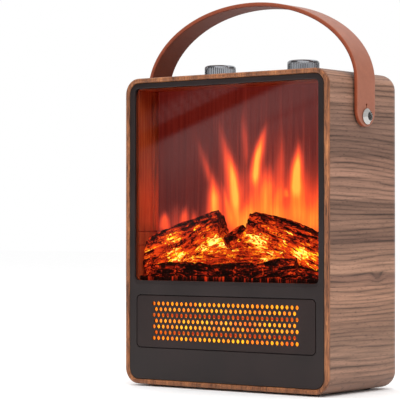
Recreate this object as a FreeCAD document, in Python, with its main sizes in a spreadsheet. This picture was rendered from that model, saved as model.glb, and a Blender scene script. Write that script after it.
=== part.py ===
"""Portable ceramic space heater with a flame display, as a parametric assembly.

Frame: +Z up, the front looks along -Y, X to the right seen from the front, millimetres.
The origin is the middle of the footprint, on the surface that the feet stand on.
"""
import FreeCAD
import Part
import Sketcher
import os
import re
from math import cos, radians, sin

from FreeCAD import Placement, Rotation, Vector

# Driving dimensions: alias, value in millimetres (or degrees, or a count), meaning.
SIZES = [
    ("box_width", 240, "housing, across"),
    ("box_depth", 127, "housing with its front rim, front to back"),
    ("box_height", 300, "housing, bottom to top"),
    ("box_lift", 2, "gap under the housing, made by the feet"),
    ("box_corner", 15.5, "radius of the front outline's corners"),
    ("box_back_round", 14.5, "radius of the edges round the back"),
    ("box_wall", 3, "housing wall"),
    ("rim_width", 4.8, "front rim, seen from the front"),
    ("rim_depth", 4.2, "front rim, front to back"),
    ("rim_round", 2.3, "radius of the rim's two front edges"),
    ("lip_width", 1.6, "locating lip behind the rim"),
    ("lip_depth", 3, "how far the lip reaches into the housing"),
    ("fit_gap", 0.1, "gap between fixed parts that slide together"),
    ("panel_gap", 0.3, "gap round the front panel and round the covers"),
    ("panel_sink", 1.2, "front panel's face behind the rim's crest"),
    ("panel_thick", 3, "front panel's plate"),
    ("skirt_width", 2, "panel's skirt, thickness"),
    ("skirt_depth", 8, "panel's skirt, front to back"),
    ("window_half", 109, "window opening, half its width"),
    ("window_low", 103.5, "window opening, lower edge"),
    ("window_high", 292, "window opening, upper edge"),
    ("window_corner", 4.5, "window opening, corner radius"),
    ("sill_height", 3.5, "bevel under the window"),
    ("glass_lap", 3, "glass hidden behind the panel at top, bottom and sides"),
    ("glass_corner", 8, "window glass, corner radius"),
    ("glass_thick", 2.8, "window glass"),
    ("gasket_thick", 0.5, "window gasket, squeezed"),
    ("grille_half", 105.5, "grille plate, half its width"),
    ("grille_low", 38.5, "grille plate, lower edge"),
    ("grille_high", 89, "grille plate, upper edge"),
    ("grille_corner", 2, "grille plate, corner radius"),
    ("grille_gap", 0.8, "shadow gap round the grille plate"),
    ("grille_sink", 0.2, "grille plate's face behind the panel's face"),
    ("grille_thick", 1.5, "grille plate where it is perforated"),
    ("grille_flange", 6, "flange of the grille plate behind the panel"),
    ("flange_thick", 1.2, "thickness of that flange"),
    ("hole_pitch", 5.65, "grille holes, pitch along a row"),
    ("row_pitch", 5.6, "grille holes, pitch of the rows"),
    ("hole_size", 4, "grille holes, diameter"),
    ("hole_count", 31, "grille holes in a long row"),
    ("row_count", 7, "rows of grille holes"),
    ("hole_mid", 64.4, "height of the middle row of grille holes"),
    ("firebox_depth", 38, "flame screen behind the front of the rim"),
    ("liner_wall", 2, "firebox liner"),
    ("liner_flange", 1.2, "flange of the liner behind the glass"),
    ("screen_thick", 2, "flame screen"),
    ("log_height", 68, "top of the logs above the firebox floor"),
    ("tray_half", 104, "tray under the logs, half its width"),
    ("tray_low", 91.5, "tray under the logs, underside"),
    ("tray_sheet", 1.2, "sheet metal of the tray"),
    ("board_thick", 1.6, "LED circuit board"),
    ("led_size", 5, "LED package, side"),
    ("led_thick", 1.6, "LED package, height"),
    ("spindle_y", -6, "flame spindle's axis, front to back"),
    ("spindle_z", 116, "flame spindle's axis, height"),
    ("spindle_rod", 1.5, "flame spindle's rod, radius"),
    ("spindle_reach", 10.5, "radius swept by the spindle's strips"),
    ("core_low", 37, "heater core, underside of the lowest fins"),
    ("fin_height", 14, "height of one row of fins"),
    ("bar_height", 3, "height of one heating bar between fins"),
    ("core_front", -50, "heater core, front"),
    ("core_deep", 14, "heater core, front to back"),
    ("core_half", 94, "fins, half their length"),
    ("fin_pitch", 3.2, "fins, pitch of the folds"),
    ("fin_sheet", 0.4, "fins, sheet thickness"),
    ("stone_half", 84, "ceramic stones, half the length of their row"),
    ("stone_count", 7, "ceramic stones in one bar"),
    ("electrode_thick", 0.5, "electrode strips"),
    ("frame_wall", 3.5, "heater core's frame"),
    ("fan_y", 10, "blower's axis, front to back"),
    ("fan_z", 61, "blower's axis, height"),
    ("fan_radius", 22, "impeller, radius"),
    ("fan_blades", 24, "impeller blades"),
    ("fan_half", 82, "impeller, half its length"),
    ("shaft_radius", 2, "blower's shaft, radius"),
    ("run_gap", 0.05, "radial clearance of turning shafts"),
    ("scroll_radius", 25, "scroll, inner radius"),
    ("scroll_sheet", 2, "scroll, wall"),
    ("scroll_half", 86, "scroll, half the length between its end plates"),
    ("motor_low", 96, "fan motor's lamination stack, inner side"),
    ("motor_stack", 14, "fan motor's lamination stack, thickness"),
    ("rotor_radius", 11.3, "fan motor's rotor, radius"),
    ("air_gap", 0.4, "gap between rotor and stator"),
    ("knob_x", 50, "knobs, distance from the middle"),
    ("knob_radius", 15.5, "knobs, radius"),
    ("knob_low", 303, "knobs, underside"),
    ("knob_high", 315.6, "knobs, top"),
    ("knob_flutes", 44, "flutes round a knob"),
    ("knob_bevel", 1.1, "bevel round the knob's top"),
    ("spindle_end", 312, "top of the control spindles"),
    ("control_rod", 3, "control spindles, radius"),
    ("bush_radius", 4.5, "threaded bushes of the controls, radius"),
    ("strap_width", 31, "strap, width"),
    ("strap_thick", 4.2, "strap, thickness"),
    ("strap_stand", 1.3, "spacer between strap and housing"),
    ("strap_y", -5.8, "strap's middle, front to back"),
    ("strap_spring", 292, "height where the strap's straight legs end"),
    ("strap_rise", 77, "rise of the arch above its legs, inside"),
    ("strap_low", 249.5, "lower end of the strap"),
    ("stud_z", 259, "studs, height"),
    ("stud_radius", 7.6, "studs, radius of the head"),
    ("stud_cap", 4.05, "studs, radius of the flat cap"),
    ("stud_head", 4, "studs, height of the head"),
    ("stud_neck", 3.95, "studs, radius of the neck in the strap"),
    ("stud_stem", 2, "studs, radius of the screwed stem"),
    ("slit_hole", 1.25, "radius of the hole at the end of the strap's slit"),
    ("slit_width", 0.8, "slit of the strap's button hole"),
    ("slit_z", 269.8, "height of that hole"),
    ("cover_half", 92, "rear cover, half its width"),
    ("cover_low", 20, "rear cover, lower edge"),
    ("cover_high", 132, "rear cover, upper edge"),
    ("cover_corner", 8, "rear cover, corner radius"),
    ("cover_thick", 2, "rear cover and base plate"),
    ("cover_sink", 0.6, "covers below the surface round them"),
    ("cover_ledge", 8, "ledge that carries a cover"),
    ("ledge_thick", 2, "ledge inside the wall"),
    ("slot_long", 36, "intake slots, length"),
    ("slot_high", 3, "intake slots, width"),
    ("gland_x", 66, "cord gland, distance from the middle"),
    ("gland_z", 44, "cord gland, height"),
    ("gland_bore", 3.6, "cord gland, radius of the bore"),
    ("gland_barrel", 5.5, "cord gland, radius of the barrel"),
    ("well_radius", 11, "well round the gland, radius"),
    ("well_deep", 6, "well round the gland, depth"),
    ("base_half", 78, "base plate, half its width"),
    ("base_deep", 38, "base plate, half its depth"),
    ("base_corner", 6, "base plate, corner radius"),
    ("foot_x", 93, "feet, distance from the middle"),
    ("foot_front", -48, "front feet, front to back"),
    ("foot_back", 38, "back feet, front to back"),
    ("foot_radius", 7, "feet, radius"),
    ("screw_head", 2.8, "small screws, radius of the head"),
    ("screw_shank", 1.3, "small screws, radius of the shank"),
    ("screw_edge", 5, "screws of the two covers, distance from the cover's edge"),
    ("screw_high", 1.6, "small screws, height of the head"),
    ("screw_sunk", 0.8, "cover left under a sunk screw head"),
    ("panel_screw_z", 20, "panel screws, height"),
    ("panel_screw_x", 70, "panel screws, pitch"),
    ("liner_screw_z", 96.5, "liner screws, height"),
    ("liner_screw_x", 80, "liner screws, pitch"),
    ("hook_x", 60, "panel hooks, distance from the middle"),
    ("hook_half", 5, "panel hooks, half their width"),
    ("hook_reach", 5, "how far the panel's hooks reach past its skirt"),
    ("hook_nose", 1.9, "nose of a hook, and the catch it holds, front to back"),
    ("ember_height", 12, "ember bed above the firebox floor"),
    ("log_radius", 11.5, "radius of the two long logs"),
    ("led_pitch", 15, "LEDs, pitch along a row"),
    ("strip_long", 14, "mirror strips of the spindle, length"),
    ("strip_gap", 2, "gap between mirror strips"),
    ("strip_sheet", 0.8, "mirror strips, thickness"),
    ("shade_high", 178, "shade behind the spindle, upper edge"),
    ("shade_sheet", 1.2, "shade behind the spindle, thickness"),
    ("flame_can", 11, "spindle motor, radius"),
    ("flame_can_long", 9, "spindle motor, length"),
    ("bush_outer", 4.9, "blower's bushes, outer radius"),
    ("nut_radius", 7.5, "control nuts, radius over their corners"),
    ("nut_high", 2.5, "control nuts, height"),
    ("control_hang", 20, "thermostat below the top wall"),
    ("control_half", 15, "thermostat, half its width"),
    ("switch_radius", 16, "mode switch, radius"),
    ("spindle_hang", 7.5, "control spindles below the top wall"),
    ("flute_radius", 0.8, "flutes of a knob, radius"),
    ("knob_rim", 3, "wall round the hollow under a knob"),
    ("knob_seat", 3.5, "hollow under a knob, height"),
    ("mark_half", 0.7, "pointer mark, half its width"),
    ("mark_edge", 2.5, "pointer mark, distance from the knob's edge"),
    ("mark_long", 6.5, "pointer mark, length"),
    ("mark_deep", 0.6, "pointer mark, depth"),
    ("stud_seat", 0.15, "gap between the strap and the studs or spacers"),
    ("stud_nut", 4.2, "stud nuts, radius"),
    ("stud_nut_thick", 3.2, "stud nuts, thickness"),
    ("slot_x", 42, "intake slots of the rear cover, pitch across"),
    ("slot_z", 7, "intake slots of the rear cover, pitch up"),
    ("terminal_y", 45.75, "terminal block, front to back"),
    ("terminal_half", 2.75, "terminal block, half its depth"),
    ("terminal_high", 14, "terminal block, height of its base"),
    ("loom_radius", 2.5, "wiring loom, radius"),
]

# Places worked out from the driving dimensions.
DERIVED = {
    "face_y": "(-box_depth / 2)",
    "rear_y": "(box_depth / 2)",
    "top_z": "(box_lift + box_height)",
    "mid_z": "(box_lift + box_height / 2)",
    "side_x": "(box_width / 2)",
    "inner_x": "(box_width / 2 - box_wall)",
    "inner_top": "(top_z - box_wall)",
    "inner_rear": "(rear_y - box_wall)",
    "floor_z": "(box_lift + box_wall)",
    "rim_back": "(face_y + rim_depth)",
    "panel_y": "(face_y + panel_sink)",
    "panel_back": "(panel_y + panel_thick)",
    "panel_half": "(side_x - rim_width - panel_gap)",
    "panel_tall": "(box_height - 2 * rim_width - 2 * panel_gap)",
    "skirt_back": "(panel_back + skirt_depth)",
    "window_mid": "((window_low + window_high) / 2)",
    "window_tall": "(window_high - window_low)",
    "glass_y": "(panel_back + gasket_thick)",
    "glass_back": "(glass_y + glass_thick)",
    "glass_half": "(window_half + glass_lap)",
    "glass_top": "(window_high + glass_lap - 0.5)",
    "glass_low": "(window_low - glass_lap)",
    "grille_y": "(panel_y + grille_sink)",
    "grille_mid": "((grille_low + grille_high) / 2)",
    "grille_tall": "(grille_high - grille_low)",
    "grille_back": "(panel_back + flange_thick)",
    "screen_y": "(face_y + firebox_depth)",
    "liner_half": "(window_half + liner_wall)",
    "liner_low": "(window_low - liner_wall)",
    "liner_top": "(window_high + liner_wall)",
    "board_low": "(tray_low + tray_sheet)",
    "led_low": "(board_low + board_thick)",
    "bar_pitch": "(fin_height + bar_height)",
    "core_high": "(core_low + 3 * fin_height + 2 * bar_height)",
    "core_back": "(core_front + core_deep)",
    "core_outer": "(core_half + frame_wall)",
    "end_x": "(scroll_half + scroll_sheet)",
    "motor_high": "(motor_low + motor_stack)",
    "strap_inner": "(side_x + strap_stand)",
    "strap_outer": "(strap_inner + strap_thick)",
    "cover_out": "(rear_y - cover_sink)",
    "cover_in": "(cover_out - cover_thick)",
    "ledge_in": "(inner_rear - ledge_thick)",
    "well_floor": "(cover_out - well_deep)",
    "base_under": "(box_lift + cover_sink)",
    "base_over": "(base_under + cover_thick)",
    "cover_mid": "((cover_low + cover_high) / 2)",
    "cover_tall": "(cover_high - cover_low)",
}

TURN = {
    "X": Rotation(Vector(0, 0, 1), Vector(1, 0, 0)),
    "Y": Rotation(Vector(0, 0, 1), Vector(0, 1, 0)),
    "Z": Rotation(),
}
WORDS = re.compile(r"[A-Za-z_]+")

doc = FreeCAD.newDocument("space_heater")
nodes = {}


# ---------------------------------------------------------------- sheet and helpers
def make_sheet():
    """Writes the driving dimensions into a spreadsheet, one alias to a row."""
    table = doc.addObject("Spreadsheet::Sheet", "Sizes")
    for row, (alias, value, meaning) in enumerate(SIZES, start=1):
        table.set(f"A{row}", meaning)
        table.set(f"B{row}", str(value))
        table.setAlias(f"B{row}", alias)
    doc.recompute()
    return table


sheet = make_sheet()
ALIASES = {alias for alias, _, _ in SIZES}


def cells(text):
    """Expands derived words and points every alias at its cell."""
    def swap(match):
        word = match.group(0)
        if word in DERIVED:
            return cells(DERIVED[word])
        return f"Sizes.{word}" if word in ALIASES else word
    return WORDS.sub(swap, str(text))


def number(text):
    """The present value of an expression, as a float."""
    return float(sheet.evalExpression(cells(text)))


def bind(item, name, text):
    item.setExpression(name, cells(text))


def place(item, x=0, y=0, z=0):
    """Binds the three coordinates of an object's position."""
    for name, text in zip("xyz", (x, y, z)):
        bind(item, f"Placement.Base.{name}", text)


def block(label, x, y, z):
    """A box between low and high values along each axis."""
    item = doc.addObject("Part::Box", label)
    for name, (low, high) in zip(("Length", "Width", "Height"), (x, y, z)):
        bind(item, name, f"({high}) - ({low})")
    place(item, x[0], y[0], z[0])
    return item


def rod(label, axis, radius, span, across):
    """A cylinder along an axis; across holds the other two coordinates, in X, Y, Z order."""
    item = doc.addObject("Part::Cylinder", label)
    item.Placement = Placement(Vector(), TURN[axis])
    bind(item, "Radius", radius)
    bind(item, "Height", f"({span[1]}) - ({span[0]})")
    where = list(across)
    where.insert("XYZ".index(axis), span[0])
    place(item, *where)
    return item


def cone(label, axis, radii, span, across):
    """A cone along an axis, from its first radius to its second."""
    item = doc.addObject("Part::Cone", label)
    item.Placement = Placement(Vector(), TURN[axis])
    bind(item, "Radius1", radii[0])
    bind(item, "Radius2", radii[1])
    bind(item, "Height", f"({span[1]}) - ({span[0]})")
    where = list(across)
    where.insert("XYZ".index(axis), span[0])
    place(item, *where)
    return item


def hexagon(label, radius, span, across):
    """A hexagonal prism along Z."""
    item = doc.addObject("Part::Prism", label)
    item.Polygon = 6
    bind(item, "Circumradius", radius)
    bind(item, "Height", f"({span[1]}) - ({span[0]})")
    place(item, across[0], across[1], span[0])
    return item


def join(label, items):
    item = doc.addObject("Part::MultiFuse", label)
    item.Shapes = list(items)
    return item


def cut(label, base, tools):
    item = doc.addObject("Part::Cut", label)
    item.Base = base
    tools = list(tools)
    item.Tool = tools[0] if len(tools) == 1 else join(f"{label}_tools", tools)
    return item


def common(label, first, second):
    item = doc.addObject("Part::Common", label)
    item.Base = first
    item.Tool = second
    return item


def group(label, items):
    """Separate solids that share one node."""
    item = doc.addObject("Part::Compound", label)
    item.Links = list(items)
    return item


def node(name, item):
    """Names a finished sub-part; its file takes this name."""
    item.Label = name
    nodes[name] = item
    return item


def plane(body, role):
    """One of a body's own origin planes."""
    return next(f for f in body.Origin.OriginFeatures if f.Role == role)


def new_sketch(body, name, role):
    sketch = body.newObject("Sketcher::SketchObject", name)
    sketch.AttachmentSupport = [(plane(body, role), "")]
    sketch.MapMode = "FlatFace"
    return sketch


def named(sketch, name, text, *constraint):
    """Adds a constraint that a cell drives."""
    index = sketch.addConstraint(Sketcher.Constraint(*constraint, number(text)))
    sketch.renameConstraint(index, name)
    bind(sketch, f"Constraints.{name}", text)


def rounded_rectangle(sketch, width, height, radius, tag=""):
    """Four lines and four arcs, centred on the sketch's origin."""
    half_w, half_h, r = number(width) / 2, number(height) / 2, number(radius)
    flat_w, flat_h = half_w - r, half_h - r
    first = len(sketch.Geometry)
    corners = [(flat_w, -flat_h, -90), (flat_w, flat_h, 0), (-flat_w, flat_h, 90), (-flat_w, -flat_h, 180)]
    starts = [(-flat_w, -half_h), (half_w, -flat_h), (flat_w, half_h), (-half_w, flat_h)]
    ends = [(flat_w, -half_h), (half_w, flat_h), (-flat_w, half_h), (-half_w, -flat_h)]
    shapes = []
    for start, end, (x, y, angle) in zip(starts, ends, corners):
        shapes.append(Part.LineSegment(Vector(*start, 0), Vector(*end, 0)))
        circle = Part.Circle(Vector(x, y, 0), Vector(0, 0, 1), r)
        shapes.append(Part.ArcOfCircle(circle, radians(angle), radians(angle + 90)))
    sketch.addGeometry(shapes, False)
    add = sketch.addConstraint
    for i in range(8):
        add(Sketcher.Constraint("Tangent", first + i, 2, first + (i + 1) % 8, 1))
    for i in (0, 4):
        add(Sketcher.Constraint("Horizontal", first + i))
        add(Sketcher.Constraint("Vertical", first + i + 2))
    for i in (3, 5, 7):
        add(Sketcher.Constraint("Equal", first + 1, first + i))
    add(Sketcher.Constraint("Symmetric", first, 1, first + 4, 1, -1, 1))
    named(sketch, f"radius{tag}", radius, "Radius", first + 1)
    named(sketch, f"width{tag}", width, "DistanceX", first + 6, 1, first + 2, 1)
    named(sketch, f"height{tag}", height, "DistanceY", first, 1, first + 4, 1)


def round_edges(body, feature, level, radius):
    """Fillets the outline edges of a body that lie at one local Y."""
    doc.recompute()
    edges = []
    for i, edge in enumerate(feature.Shape.Edges, start=1):
        box = edge.BoundBox
        if abs(box.YMin - level) < 1e-4 and abs(box.YMax - level) < 1e-4:
            edges.append(f"Edge{i}")
    fillet = body.newObject("PartDesign::Fillet", f"{body.Name}_fillet")
    fillet.Base = (feature, edges)
    bind(fillet, "Radius", radius)
    body.Tip = fillet


def slab(label, size, radius, middle, y, hole=None, rounding=None):
    """A rounded plate that faces the front, padded towards the back.

    size is (width, height), middle is (x, z) and y is (front, back). hole adds an inner outline,
    (width, height, radius), and rounding fillets the edges at ("front" or "back", radius).
    """
    body = doc.addObject("PartDesign::Body", label)
    sketch = new_sketch(body, f"{label}_outline", "XZ_Plane")
    rounded_rectangle(sketch, *size, radius)
    if hole:
        rounded_rectangle(sketch, *hole, "_hole")
    pad = body.newObject("PartDesign::Pad", f"{label}_pad")
    pad.Profile = sketch
    pad.Reversed = True
    bind(pad, "Length", f"({y[1]}) - ({y[0]})")
    body.Tip = pad
    if rounding:
        level = 0 if rounding[0] == "front" else number(f"({y[1]}) - ({y[0]})")
        round_edges(body, pad, level, rounding[1])
    place(body, middle[0], y[0], middle[1])
    return body


def sheet_plate(label, size, radius, z):
    """A rounded plate that lies flat, between two heights."""
    body = doc.addObject("PartDesign::Body", label)
    sketch = new_sketch(body, f"{label}_outline", "XY_Plane")
    rounded_rectangle(sketch, *size, radius)
    pad = body.newObject("PartDesign::Pad", f"{label}_pad")
    pad.Profile = sketch
    bind(pad, "Length", f"({z[1]}) - ({z[0]})")
    body.Tip = pad
    place(body, 0, 0, z[0])
    return body


def circle_sketch(body, name, role, radius, x, y):
    """A sketch of one circle; the centre is given in the sketch's own axes."""
    sketch = new_sketch(body, name, role)
    centre = Vector(number(x), number(y), 0)
    sketch.addGeometry(Part.Circle(centre, Vector(0, 0, 1), number(radius)), False)
    named(sketch, "radius", radius, "Radius", 0)
    for name_, axis, text, index in (("x", "DistanceX", x, -2), ("y", "DistanceY", y, -1)):
        if number(text) == 0:
            sketch.addConstraint(Sketcher.Constraint("PointOnObject", 0, 3, index))
        else:
            named(sketch, name_, text, axis, -1, 1, 0, 3)
    return sketch


def pocket_through(body, sketch, name):
    """Cuts a sketch right through its body, both ways."""
    pocket = body.newObject("PartDesign::Pocket", name)
    pocket.Profile = sketch
    pocket.Type = "ThroughAll"
    pocket.Midplane = True
    body.Tip = pocket
    return pocket


def grid(body, pocket, sketch, across, up):
    """Repeats a pocket along the sketch's two axes; across and up are (pitch, count)."""
    doc.recompute()
    pattern = body.newObject("PartDesign::LinearPattern", f"{pocket.Name}_grid")
    pattern.Originals = [pocket]
    pattern.Direction = (sketch, ["H_Axis"])
    pattern.Occurrences = across[1]
    bind(pattern, "Length", f"({across[0]}) * {across[1] - 1}")
    pattern.Direction2 = (sketch, ["V_Axis"])
    pattern.Occurrences2 = up[1]
    bind(pattern, "Length2", f"({up[0]}) * {up[1] - 1}")
    body.Tip = pattern
    return pattern


def screw(label, axis, head, tip, across):
    """A pan-head screw; head is (under, over) along the axis and tip is the shank's far end."""
    low, high = sorted((head[0], tip), key=number)
    shank = rod(f"{label}_shank", axis, "screw_shank", (low, high), across)
    low, high = sorted(head, key=number)
    cap = rod(f"{label}_head", axis, "screw_head", (low, high), across)
    return join(label, [shank, cap])


def mirrored_pairs(*values):
    """Each value and its opposite, as expressions."""
    return [text for value in values for text in (f"-({value})", f"{value}")]


# ---------------------------------------------------------------- places shared by several parts
REAR_SCREWS = [(x, z) for x in mirrored_pairs("cover_half - screw_edge")
               for z in ("cover_low + screw_edge", "cover_mid", "cover_high - screw_edge")]
BASE_SCREWS = [(x, y) for x in mirrored_pairs("base_half - screw_edge")
               for y in mirrored_pairs("base_deep - screw_edge")]
PANEL_SCREWS = [(f"{i} * panel_screw_x", "panel_screw_z") for i in (-1, 0, 1)]
LINER_SCREWS = [(f"{i} * liner_screw_x", "liner_screw_z") for i in (-1, 0, 1)]
GRILLE_SCREWS = [(x, z) for x in mirrored_pairs("grille_half + 4.3")
                 for z in ("grille_low + 3", "grille_high - 3")]
FEET = [(x, y) for x in mirrored_pairs("foot_x") for y in ("foot_front", "foot_back")]
HOOKS = mirrored_pairs("hook_x")
KNOBS = {"left": "-knob_x", "right": "knob_x"}


# ---------------------------------------------------------------- casing
def build_housing():
    """Wood-look box with round edges, open at the front, with seats for the two covers."""
    outer = slab("housing_outer", ("box_width", "box_height"), "box_corner", ("0", "mid_z"),
                 ("rim_back", "rear_y"), rounding=("back", "box_back_round"))
    hollow = slab("housing_hollow", ("box_width - 2 * box_wall", "box_height - 2 * box_wall"),
                  "box_corner - box_wall", ("0", "mid_z"), ("rim_back - 1", "inner_rear"),
                  rounding=("back", "box_back_round - box_wall"))
    shell = cut("housing_walls", outer, [hollow])
    ledge = slab("rear_ledge", ("2 * cover_half + 6", "cover_tall + 6"), "cover_corner + 3",
                 ("0", "cover_mid"), ("ledge_in", "inner_rear"))
    floor_ledge = sheet_plate("floor_ledge", ("2 * base_half + 6", "2 * base_deep + 6"),
                              "base_corner + 3", ("floor_z", "floor_z + ledge_thick"))
    ribs = [block(f"panel_rib_{i}", (f"{x} - 6", f"{x} + 6"), ("skirt_back + 0.3", "skirt_back + 3.3"),
                  ("floor_z - 1", "26")) for i, (x, _) in enumerate(PANEL_SCREWS)]
    catches = [block(f"hook_catch_{i}", (f"{x} - hook_half - 2", f"{x} + hook_half + 2"),
                     ("skirt_back + 1", "skirt_back + 1 + hook_nose"),
                     ("inner_top - 1.9", "inner_top + 1")) for i, x in enumerate(HOOKS)]
    solid = join("housing_solid", [shell, ledge, floor_ledge] + ribs + catches)
    tools = [
        slab("rear_recess", ("2 * cover_half + 2 * panel_gap", "cover_tall + 2 * panel_gap"),
             "cover_corner + panel_gap", ("0", "cover_mid"), ("cover_in", "rear_y + 1")),
        slab("rear_opening", ("2 * cover_half - 2 * cover_ledge", "cover_tall - 2 * cover_ledge"), "4",
             ("0", "cover_mid"), ("ledge_in - 1", "rear_y + 1")),
        sheet_plate("base_recess", ("2 * base_half + 2 * panel_gap", "2 * base_deep + 2 * panel_gap"),
                    "base_corner + panel_gap", ("box_lift - 1", "base_over")),
        sheet_plate("base_opening", ("2 * base_half - 2 * cover_ledge", "2 * base_deep - 2 * cover_ledge"),
                    "3", ("box_lift - 1", "floor_z + ledge_thick + 1")),
        rod("stud_holes", "X", "stud_stem + fit_gap", ("-side_x - 1", "side_x + 1"), ("strap_y", "stud_z")),
    ]
    tools += [rod(f"control_hole_{side}", "Z", "bush_radius + fit_gap", ("inner_top - 1", "top_z + 1"),
                  (x, "0")) for side, x in KNOBS.items()]
    tools += [rod(f"rear_screw_hole_{i}", "Y", "screw_shank", ("ledge_in - 1", "rear_y"), at)
              for i, at in enumerate(REAR_SCREWS)]
    tools += [rod(f"base_screw_hole_{i}", "Z", "screw_shank", ("box_lift", "floor_z + ledge_thick + 1"), at)
              for i, at in enumerate(BASE_SCREWS)]
    tools += [rod(f"panel_screw_hole_{i}", "Y", "screw_shank + fit_gap", ("skirt_back", "skirt_back + 4"),
                  at) for i, at in enumerate(PANEL_SCREWS)]
    tools += [rod(f"foot_hole_{i}", "Z", "foot_radius - 4", ("box_lift - 1", "floor_z + 1"), at)
              for i, at in enumerate(FEET)]
    node("housing_shell", cut("housing", solid, tools))


def build_rim():
    """Light wood trim round the front, half round in section, with a locating lip."""
    opening = ("box_width - 2 * rim_width", "box_height - 2 * rim_width", "box_corner - rim_width")
    ring = slab("rim_ring", ("box_width", "box_height"), "box_corner", ("0", "mid_z"),
                ("face_y", "rim_back"), hole=opening, rounding=("front", "rim_round"))
    inset = "(box_wall + fit_gap)"
    lip = slab("rim_lip", (f"box_width - 2 * {inset}", f"box_height - 2 * {inset}"),
               f"box_corner - {inset}", ("0", "mid_z"), ("rim_back", "rim_back + lip_depth"),
               hole=(f"box_width - 2 * {inset} - 2 * lip_width",
                     f"box_height - 2 * {inset} - 2 * lip_width", f"box_corner - {inset} - lip_width"))
    node("front_rim", join("rim", [ring, lip]))


def build_panel():
    """Charcoal front with the window, the bevel under it and the seat of the grille plate."""
    plate = slab("panel_plate", ("2 * panel_half", "panel_tall"), "box_corner - rim_width - panel_gap",
                 ("0", "mid_z"), ("panel_y", "panel_back"))
    skirt = slab("panel_skirt", ("2 * panel_half", "panel_tall"), "box_corner - rim_width - panel_gap",
                 ("0", "mid_z"), ("panel_back", "skirt_back"),
                 hole=("2 * panel_half - 2 * skirt_width", "panel_tall - 2 * skirt_width",
                       "box_corner - rim_width - panel_gap - skirt_width"))
    bosses = [rod(f"panel_boss_{i}", "Y", "3.2", ("panel_back", "skirt_back + 0.3"), at)
              for i, at in enumerate(PANEL_SCREWS)]
    bosses += [rod(f"liner_boss_{i}", "Y", "2.8", ("panel_back", "glass_back"), at)
               for i, at in enumerate(LINER_SCREWS)]
    panel_top = "mid_z + panel_tall / 2"
    hooks = []
    for i, x in enumerate(HOOKS):
        wide = (f"{x} - hook_half", f"{x} + hook_half")
        hooks.append(block(f"hook_arm_{i}", wide, ("skirt_back - 1", "skirt_back + hook_reach"),
                           (f"{panel_top} - skirt_width", f"{panel_top} - fit_gap")))
        hooks.append(block(f"hook_nose_{i}", wide,
                           ("skirt_back + hook_reach - hook_nose", "skirt_back + hook_reach"),
                           (f"{panel_top} - 1", f"{panel_top} + 1.4")))
    solid = join("panel_solid", [plate, skirt] + bosses + hooks)
    tools = [
        slab("window_opening", ("2 * window_half", "window_tall"), "window_corner", ("0", "window_mid"),
             ("panel_y - 1", "panel_back + 1")),
        slab("grille_seat", ("2 * grille_half + 2 * grille_gap", "grille_tall + 2 * grille_gap"),
             "grille_corner + grille_gap", ("0", "grille_mid"), ("panel_y - 1", "panel_back + 1")),
        sill_wedge(),
    ]
    tools += [rod(f"boss_hole_{i}", "Y", "screw_shank", ("panel_back - 1", "skirt_back + 1"), at)
              for i, at in enumerate(PANEL_SCREWS)]
    tools += [rod(f"liner_hole_{i}", "Y", "screw_shank", ("panel_back - 1.2", "glass_back + 1"), at)
              for i, at in enumerate(LINER_SCREWS)]
    tools += [rod(f"grille_hole_{i}", "Y", "screw_shank", ("panel_back - 2", "panel_back + 1"), at)
              for i, at in enumerate(GRILLE_SCREWS)]
    node("front_panel", cut("panel", solid, tools))


def sill_wedge():
    """The three-sided bar that bevels the panel under the window."""
    wedge = doc.addObject("Part::Wedge", "sill_wedge")
    inner = "(window_half - window_corner)"
    for name, text in {
        "Xmin": f"-{inner}", "Xmax": inner, "X2min": f"-{inner}", "X2max": inner,
        "Ymin": "0", "Ymax": "panel_thick * 0.6",
        "Zmin": "0", "Zmax": "sill_height + 0.01", "Z2min": "sill_height", "Z2max": "sill_height + 0.01",
    }.items():
        bind(wedge, name, text)
    place(wedge, "0", "panel_y", "window_low - sill_height")
    return wedge


def build_glazing():
    """Window glass and the gasket between it and the panel."""
    size = ("2 * glass_half", "glass_top - glass_low")
    middle = ("0", "(glass_top + glass_low) / 2")
    ring = slab("gasket_sheet", size, "glass_corner", middle, ("panel_back", "glass_y"))
    opening = slab("gasket_opening", ("2 * window_half + 1.6", "window_tall + 1.6"), "window_corner",
                   ("0", "window_mid"), ("panel_back - 1", "glass_y + 1"))
    node("glass_gasket", cut("gasket", ring, [opening]))
    node("window_glass", slab("glass", size, "glass_corner", middle, ("glass_y", "glass_back")))


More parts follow.
